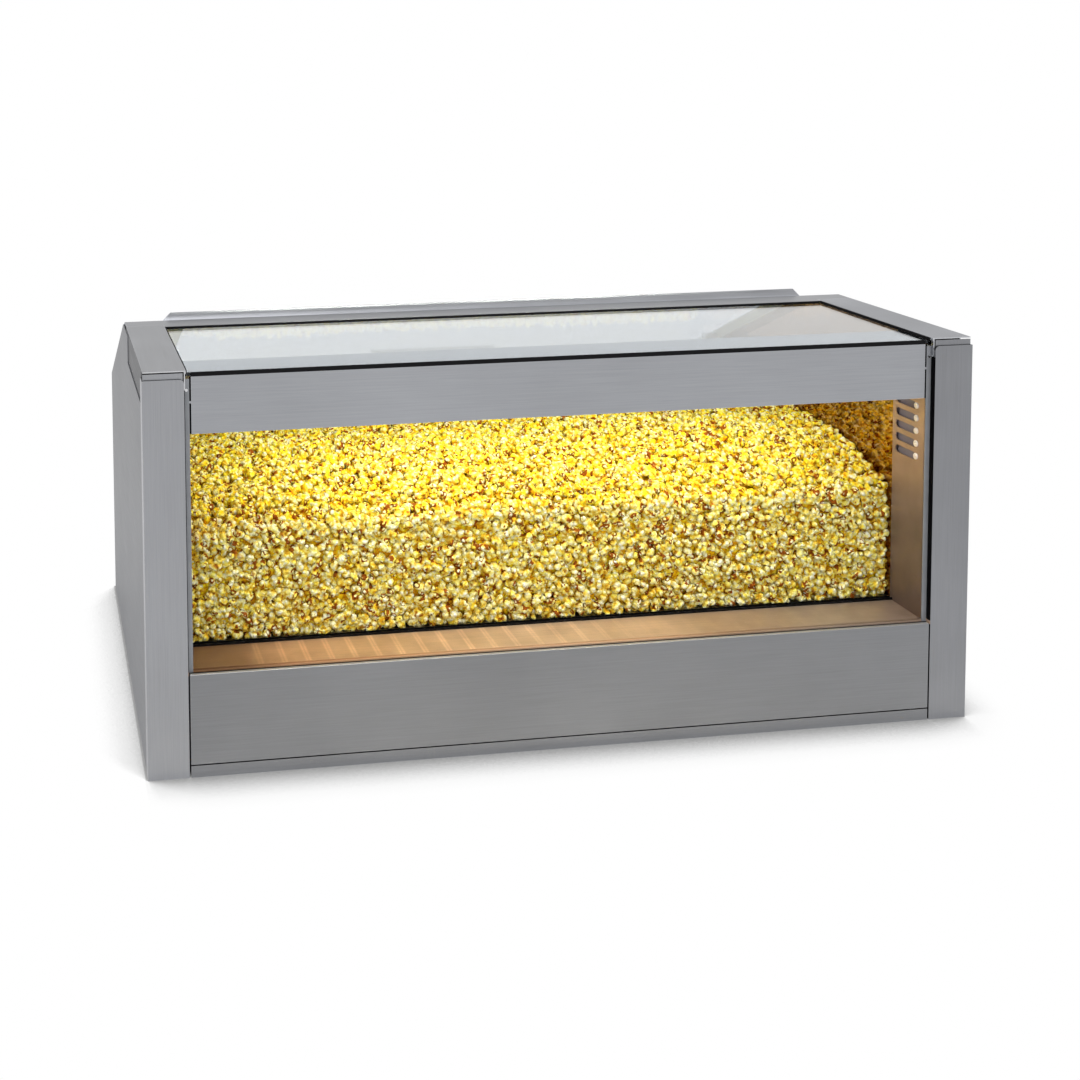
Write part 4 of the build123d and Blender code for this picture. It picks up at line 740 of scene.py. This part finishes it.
def corn_shapes(ways):
    """Kernels that are the outside of some overlapping balls, each with the origin just inside.

    Along the unit way w, a ball with its centre at c and radius s ends at
    w.c + sqrt(s^2 - |c|^2 + (w.c)^2). The furthest of them is the surface, and where two are
    nearly as far lies a crease. The hull shows in the low places on one side.
    """
    shapes, heights, hulls = [], [], []
    for _ in range(CORN_SHAPES):
        lobes = int(rng.integers(*CORN_LOBES))
        toward = rng.normal(size=(lobes, 3))
        toward /= np.linalg.norm(toward, axis=1)[:, None]
        sizes = rng.uniform(*LOBE_SIZES, lobes)
        centres = toward * (sizes * rng.uniform(*LOBE_OFFSETS, lobes))[:, None]
        along = ways @ centres.T
        reach = along + np.sqrt(sizes ** 2 - (centres ** 2).sum(1) + along ** 2)
        order = np.sort(reach, axis=1)
        far = order[:, -1] * (1 + rng.normal(0, LOBE_ROUGHNESS, len(ways)))
        crease = np.clip((order[:, -1] - order[:, -2]) / CREASE_WIDTH, 0, 1)
        height = np.clip((order[:, -1] - 0.45) / 0.50, 0, 1)
        spot = ways @ toward[0] * 0.5 + ways @ toward[1] * 0.5
        shapes.append(ways * (far / far.max())[:, None])
        # creases and low places get a low level and a darker tone: partly the corn's own colour,
        # partly painted shade
        heights.append(0.55 * height + 0.45 * crease)
        hulls.append((crease < 0.45) * (height < 0.6) * (spot > 0.35))
    return np.array(shapes), np.array(heights), np.array(hulls, float)


def random_turns(count):
    """Rotation matrices spread evenly over all directions, from random unit quaternions."""
    q = rng.normal(size=(count, 4))
    w, x, y, z = (q / np.linalg.norm(q, axis=1)[:, None]).T
    rows = [
        [1 - 2 * (y * y + z * z), 2 * (x * y - z * w), 2 * (x * z + y * w)],
        [2 * (x * y + z * w), 1 - 2 * (x * x + z * z), 2 * (y * z - x * w)],
        [2 * (x * z - y * w), 2 * (y * z + x * w), 1 - 2 * (x * x + y * y)],
    ]
    return np.array(rows).transpose(2, 0, 1)


def heap_level(x, y):
    """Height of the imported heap's top at each place, with soft swells and a dip at the far left.

    The swells are a sine along X, bent by a sine along Y, times a sine along Y. The dip is a
    bell curve from the left wall.
    """
    solid = nodes["popcorn_fill"]
    low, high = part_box("popcorn_fill")
    into = solid.matrix_world.inverted()
    down = into.to_3x3() @ Vector((0, 0, -1))
    inside_x = np.clip(x, low.x + HEAP_MARGIN, high.x - HEAP_MARGIN)
    inside_y = np.clip(y, low.y + HEAP_MARGIN, high.y - HEAP_MARGIN)
    level = np.empty(x.shape)
    for k in np.ndindex(x.shape):
        hit, place, _, _ = solid.ray_cast(into @ Vector((inside_x[k], inside_y[k], 1.0)), down)
        level[k] = (solid.matrix_world @ place).z if hit else low.z
    swell = HEAP_SWELL * np.sin(9.0 * x + 2.0 * np.sin(7.0 * y)) * np.sin(11.0 * y + 1.3)
    return level + swell - LEFT_DIP * np.exp(-((x - low.x) / LEFT_DIP_REACH) ** 2)


def heap_body(material):
    """The inside of the heap: a grid a little under its kernels, closed by a floor and walls."""
    low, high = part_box("popcorn_fill")
    x = np.linspace(low.x + HEAP_MARGIN, high.x - HEAP_MARGIN, HEAP_COLUMNS)
    y = np.linspace(low.y + HEAP_SINK, high.y - HEAP_MARGIN, HEAP_ROWS)
    grid_x, grid_y = np.meshgrid(x, y)
    top = np.stack([grid_x, grid_y, heap_level(grid_x, grid_y) - HEAP_SINK], -1)
    base = top.copy()
    base[..., 2] = low.z + HEAP_FLOOR
    points = np.concatenate([top.reshape(-1, 3), base.reshape(-1, 3)])
    index = np.arange(HEAP_COLUMNS * HEAP_ROWS).reshape(HEAP_ROWS, HEAP_COLUMNS)
    under = index + index.size
    faces = [quads(index), quads(under)[:, ::-1]]
    edges = ((index[0], False), (index[-1], True), (index[:, 0], True), (index[:, -1], False))
    for edge, flip in edges:
        wall = np.stack([edge[:-1], edge[:-1] + index.size, edge[1:] + index.size, edge[1:]], 1)
        faces.append(wall[:, ::-1] if flip else wall)
    piece = mesh_piece("popcorn_heap", points, np.concatenate(faces), material)
    # the heap's inside takes the popcorn's dark low tone, so the gaps between kernels show painted
    # shade
    paint_corn(piece, np.tile([0.0, 0.1, 0.0], (len(points), 1)))
    return piece


def quads(index):
    """Faces of a grid of point numbers, anticlockwise as seen from above."""
    corners = [index[:-1, :-1], index[:-1, 1:], index[1:, 1:], index[1:, :-1]]
    return np.stack(corners, -1).reshape(-1, 4)


def paint_corn(piece, values):
    """Per-point tone, lobe height and hull in the attribute that the popcorn's material reads."""
    layer = piece.data.attributes.new("corn", "FLOAT_COLOR", "POINT")
    rgba = np.concatenate([values, np.ones((len(values), 1))], 1).astype(np.float32)
    layer.data.foreach_set("color", rgba.ravel())


def scattered(first, second, depth):
    """Places on a loose grid over two ranges, the rows offset by half a pitch, plus jitter."""
    pitch = CORN_PITCH * UNDER_LAYER_PITCH ** depth
    a = np.arange(*first, pitch)
    b = np.arange(*second, pitch * 0.87)
    grid_a, grid_b = np.meshgrid(a, b)
    grid_a[1::2] += pitch / 2
    grid_a, grid_b = grid_a.ravel(), grid_b.ravel()
    jitter = rng.uniform(-CORN_JITTER, CORN_JITTER, (2, grid_a.size))
    return grid_a + jitter[0], grid_b + jitter[1]


def kernel_places():
    """Where kernels lie: two layers over the top of the heap and two behind the glass."""
    low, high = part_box("popcorn_fill")
    glass_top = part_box("inner_glass")[1].z
    spots = []
    for depth in (0, 1):
        x, y = scattered((low.x, high.x), (low.y + CORN_REACH, high.y), depth)
        level = heap_level(x, y) - UNDER_LAYER * depth + rng.uniform(*TOP_JITTER, x.size)
        spots.append(np.stack([x, y, level - TOP_LAYER], 1))
        x, z = scattered((low.x, high.x), (low.z + LOWEST_CORN, glass_top + 0.02), depth)
        y = low.y + CORN_REACH + REAR_LAYER * depth + rng.uniform(*GLASS_JITTER, x.size)
        keep = z < heap_level(x, y) - HEAP_MARGIN
        spots.append(np.stack([x, y, z], 1)[keep])
    bottom = np.array([low.x + CORN_REACH, low.y + CORN_REACH * 0.8, low.z + 0.5 * CORN_REACH])
    top = np.array([high.x - CORN_REACH, high.y - CORN_REACH, 1.0])
    return np.clip(np.concatenate(spots), bottom, top)


def kernels(name, material, ways, faces, chosen):
    """Kernels of random shape, size and turn at the chosen places, cut flat by glass and walls."""
    low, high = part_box("popcorn_fill")
    shapes, heights, hulls = corn_shapes(ways)
    count, per = len(chosen), len(ways)
    kinds = rng.integers(0, CORN_SHAPES, count)
    size = CORN_RADIUS * rng.uniform(CORN_SMALLEST, 1.0, count)
    turned = np.einsum("nij,nvj->nvi", random_turns(count), shapes[kinds])
    points = (turned * size[:, None, None] + chosen[:, None]).reshape(-1, 3)
    points = np.clip(points, np.array(low), np.array([high.x, high.y, 1.0]))
    all_faces = (faces[None] + np.arange(count)[:, None, None] * per).reshape(-1, 3)
    piece = mesh_piece(name, points, all_faces, material)
    behind_glass = chosen[:, 2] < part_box("inner_glass")[1].z
    pale = rng.beta(*PALE_MIX, count) * PALE_SPAN + PALER_BEHIND_GLASS * behind_glass
    pale = np.clip(pale, 0, 1)
    hull = hulls[kinds] * (rng.uniform(size=count) < HULL_SHARE)[:, None]
    paint_corn(piece, np.stack([np.repeat(pale, per), heights[kinds].ravel(), hull.ravel()], 1))
    return piece


def popcorn():
    """The kernels, in a few pieces, over the heap's inside."""
    material = popped_corn("popped_corn")
    ways, faces = split_faces(*icosahedron())
    spots = kernel_places()
    order = rng.permutation(len(spots))
    groups = math.ceil(len(spots) * len(faces) / CORN_PIECE_FACES)
    pieces = [heap_body(material)]
    for k in range(groups):
        pieces.append(kernels(f"popcorn_{k + 1}", material, ways, faces, spots[order[k::groups]]))
    for piece in pieces:
        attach(piece, "cabinet")
        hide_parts("popcorn_fill")


# Cabinet's own added pieces

def slot_backings():
    """A shallow channel behind each wall's slots: its section carried along the height.

    The section is a flat web with a lip at each end that turns towards the wall, walked round
    once at the outer line and once at the inner line.
    """
    material = FINISHES["backing_grey"]("backing_grey")
    low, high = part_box("slot_studs")
    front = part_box("lower_front_panel")[0].y
    for side, wall in ((-1, "left_inner_wall"), (1, "right_inner_wall")):
        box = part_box(wall)
        face = box[0].x if side < 0 else box[1].x
        depths = np.array([BACKING_GAP, BACKING_LIP, BACKING_LIP, BACKING_GAP])
        thicker = np.array([0, BACKING_SHEET, BACKING_SHEET, 0])
        depths = np.concatenate([depths, depths[::-1] + thicker])
        ends = np.array([BACKING_FROM, BACKING_FROM, BACKING_TO, BACKING_TO])
        inner = ends[::-1] + BACKING_SHEET * np.array([1, 1, -1, -1])
        section = np.stack([face + side * depths, front + np.concatenate([ends, inner])], 1)
        levels = (low.z - BACKING_PAST, high.z + BACKING_PAST)
        rings = [np.column_stack([section, np.full(8, z)]) for z in levels]
        ring = np.arange(8)
        around = np.stack([ring, np.roll(ring, -1), np.roll(ring, -1) + 8, ring + 8], 1)
        caps = np.array([[0, 1, 6, 7], [1, 2, 5, 6], [2, 3, 4, 5]])
        faces = np.concatenate([around, caps[:, ::-1], caps + 8])
        piece = mesh_piece(f"{wall}_backing", np.concatenate(rings), faces, material, smooth=False)
        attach(piece, "cabinet")


def top_pane():
    """The top glass: a slab with round corners and ground edges, a hair clear of what it lies on.

    Its outline is four quarter circles, and each ring of it is drawn in by the ground edge at
    the top and the bottom. A point in the middle closes both faces.
    """
    low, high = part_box("top_glass")
    turn = np.radians(np.arange(4)[:, None] * 90 + np.linspace(0, 90, CORNER_POINTS)).ravel()
    middle = np.array([(low.x + high.x) / 2, (low.y + high.y) / 2])
    half = np.array([(high.x - low.x) / 2, (high.y - low.y) / 2])
    quarter = np.repeat(np.array([(1, 1), (-1, 1), (-1, -1), (1, -1)]), CORNER_POINTS, axis=0)
    bottom = low.z + GLASS_CLEAR
    edges = (
        (GLASS_ARRIS, bottom),
        (0, bottom + GLASS_ARRIS),
        (0, high.z - GLASS_ARRIS),
        (GLASS_ARRIS, high.z),
    )
    rings = []
    for inset, z in edges:
        straight = quarter * (half - GLASS_CORNER)
        arc = np.stack([np.cos(turn), np.sin(turn)], 1) * (GLASS_CORNER - inset)
        rings.append(np.column_stack([middle + straight + arc, np.full(len(turn), z)]))
    count = len(turn)
    points = np.concatenate(rings + [[(*middle, bottom)], [(*middle, high.z)]])
    ring = np.arange(count)
    after = np.roll(ring, -1)
    faces = [np.stack([after, ring, np.full(count, 4 * count)], 1)]
    for k in range(3):
        a, b = ring + k * count, after + k * count
        faces += [np.stack([a, b, b + count], 1), np.stack([a, b + count, a + count], 1)]
    faces.append(np.stack([ring + 3 * count, after + 3 * count, np.full(count, 4 * count + 1)], 1))
    glass = FINISHES["glass"]("glass")
    piece = mesh_piece("top_pane", points, np.concatenate(faces), glass, smooth=False)
    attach(piece, "cabinet")
    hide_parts("top_glass")


# Stage, light and camera

def seen_white(tree, shade):
    """Full white to the camera, to gloss and through glass; the given shade otherwise."""
    rays = node(tree, "ShaderNodeLightPath").outputs
    seen = either(tree, rays["Is Glossy Ray"], rays["Is Transmission Ray"])
    return remap(tree, either(tree, rays["Is Camera Ray"], seen), shade, 1.0, 0.0, 1.0)


def white_world(ambient):
    """A white world that lights the cabinet by less than it shows."""
    world = bpy.data.worlds.new("studio")
    world.use_nodes = True
    tree = world.node_tree
    background = tree.nodes["Background"]
    background.inputs["Color"].default_value = (1, 1, 1, 1)
    tree.links.new(seen_white(tree, ambient), background.inputs["Strength"])
    bpy.context.scene.world = world


def floor():
    """A white floor: full white to the camera but for the shade along the foot of the cabinet.

    The shade is read from how open the floor is at each point, and is lighter at the cabinet's
    left. Mirrors and glass see the floor dimmer than it is.
    """
    material, tree, shader = new_material("studio_floor")
    shader.inputs["Roughness"].default_value = 1.0
    shader.inputs["Specular IOR Level"].default_value = 0.0
    shader.inputs["Emission Color"].default_value = (1, 1, 1, 1)
    rays = node(tree, "ShaderNodeLightPath").outputs
    seen = rays["Is Camera Ray"]
    lit = remap(tree, seen, FLOOR_WHITE, 0.0, 0.0, 1.0)
    tree.links.new(tinted(tree, (1, 1, 1), lit), shader.inputs["Base Color"])
    mirrored = either(tree, rays["Is Glossy Ray"], rays["Is Transmission Ray"])
    around = node(tree, "ShaderNodeAmbientOcclusion", {"Distance": SHADE_REACH}, samples=8)
    openness = around.outputs["AO"]
    shade = remap(tree, openness, SHADE_AT_WALL, 1.0, OPEN_AT_WALL, SHADE_ENDS)
    left = cad_box[0].x
    beside = remap(tree, along_axis(tree, "X"), 1.0, 0.0, left - 0.004, left)
    lighter = remap(tree, openness, LEFT_SHADE_AT_WALL, 1.0, OPEN_AT_WALL, LEFT_SHADE_ENDS)
    glow = product(tree, seen, either(tree, shade, product(tree, beside, lighter)))
    glow = either(tree, product(tree, mirrored, FLOOR_MIRRORED), glow)
    tree.links.new(glow, shader.inputs["Emission Strength"])
    points = FLOOR_HALF * np.array([(-1, -1, 0), (1, -1, 0), (1, 1, 0), (-1, 1, 0)])
    piece = mesh_piece("studio_floor", points, np.array([[0, 1, 2, 3]]), material, smooth=False)


def area_light(name, place, aim, size, power):
    """A white rectangular light that looks from its place at its aim."""
    data = bpy.data.lights.new(name, "AREA")
    data.shape = "RECTANGLE"
    data.size, data.size_y = size
    data.energy = power
    lamp = bpy.data.objects.new(name, data)
    lamp.location = place
    lamp.rotation_euler = (Vector(aim) - Vector(place)).to_track_quat("-Z", "Y").to_euler()
    bpy.context.scene.collection.objects.link(lamp)


def cabinet_lamps():
    """One small downlight under each emitter of the two lamp bars."""
    low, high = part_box("lamp_lenses")
    middle = (low.y + high.y) / 2
    aim = Vector(LED_AIM).to_track_quat("-Z", "Y").to_euler()
    for side in (-1, 1):
        for i in range(LED_COUNT):
            x = side * LAMP_AT + (i - (LED_COUNT - 1) / 2) * LED_PITCH
            data = bpy.data.lights.new("emitter", "SPOT")
            data.energy = LED_POWER
            data.color = LED_COLOUR
            data.spot_size = math.radians(LED_CONE)
            data.spot_blend = LED_EDGE
            data.shadow_soft_size = LED_SIZE
            lamp = bpy.data.objects.new("emitter", data)
            lamp.location = (x, middle, low.z - LED_SIZE)
            lamp.rotation_euler = aim
            bpy.context.scene.collection.objects.link(lamp)


def camera():
    """The camera, its axes worked out from its yaw, its pitch and its roll about the view."""
    yaw, pitch, roll = (math.radians(a) for a in (CAMERA_YAW, CAMERA_PITCH, CAMERA_ROLL))
    level = math.cos(pitch)
    forward = Vector((math.sin(yaw) * level, math.cos(yaw) * level, math.sin(pitch)))
    across = Vector((math.cos(yaw), -math.sin(yaw), 0))
    right = across * math.cos(roll) + across.cross(forward) * math.sin(roll)
    up = right.cross(forward)
    data = bpy.data.cameras.new("camera")
    data.lens = CAMERA_LENS
    data.sensor_width = 36.0
    data.sensor_fit = "HORIZONTAL"
    data.shift_x, data.shift_y = CAMERA_SHIFT
    made = bpy.data.objects.new("camera", data)
    turned = Matrix((right, up, -forward)).transposed().to_4x4()
    made.matrix_world = Matrix.Translation(CAMERA_AT) @ turned
    bpy.context.scene.collection.objects.link(made)
    bpy.context.scene.camera = made


dress_nodes()
popcorn()
slot_backings()
top_pane()
white_world(AMBIENT)
floor()
area_light("key", KEY_AT, KEY_AIM, KEY_SIZE, KEY_POWER)
cabinet_lamps()
camera()
bpy.context.scene.view_settings.view_transform = "Standard"
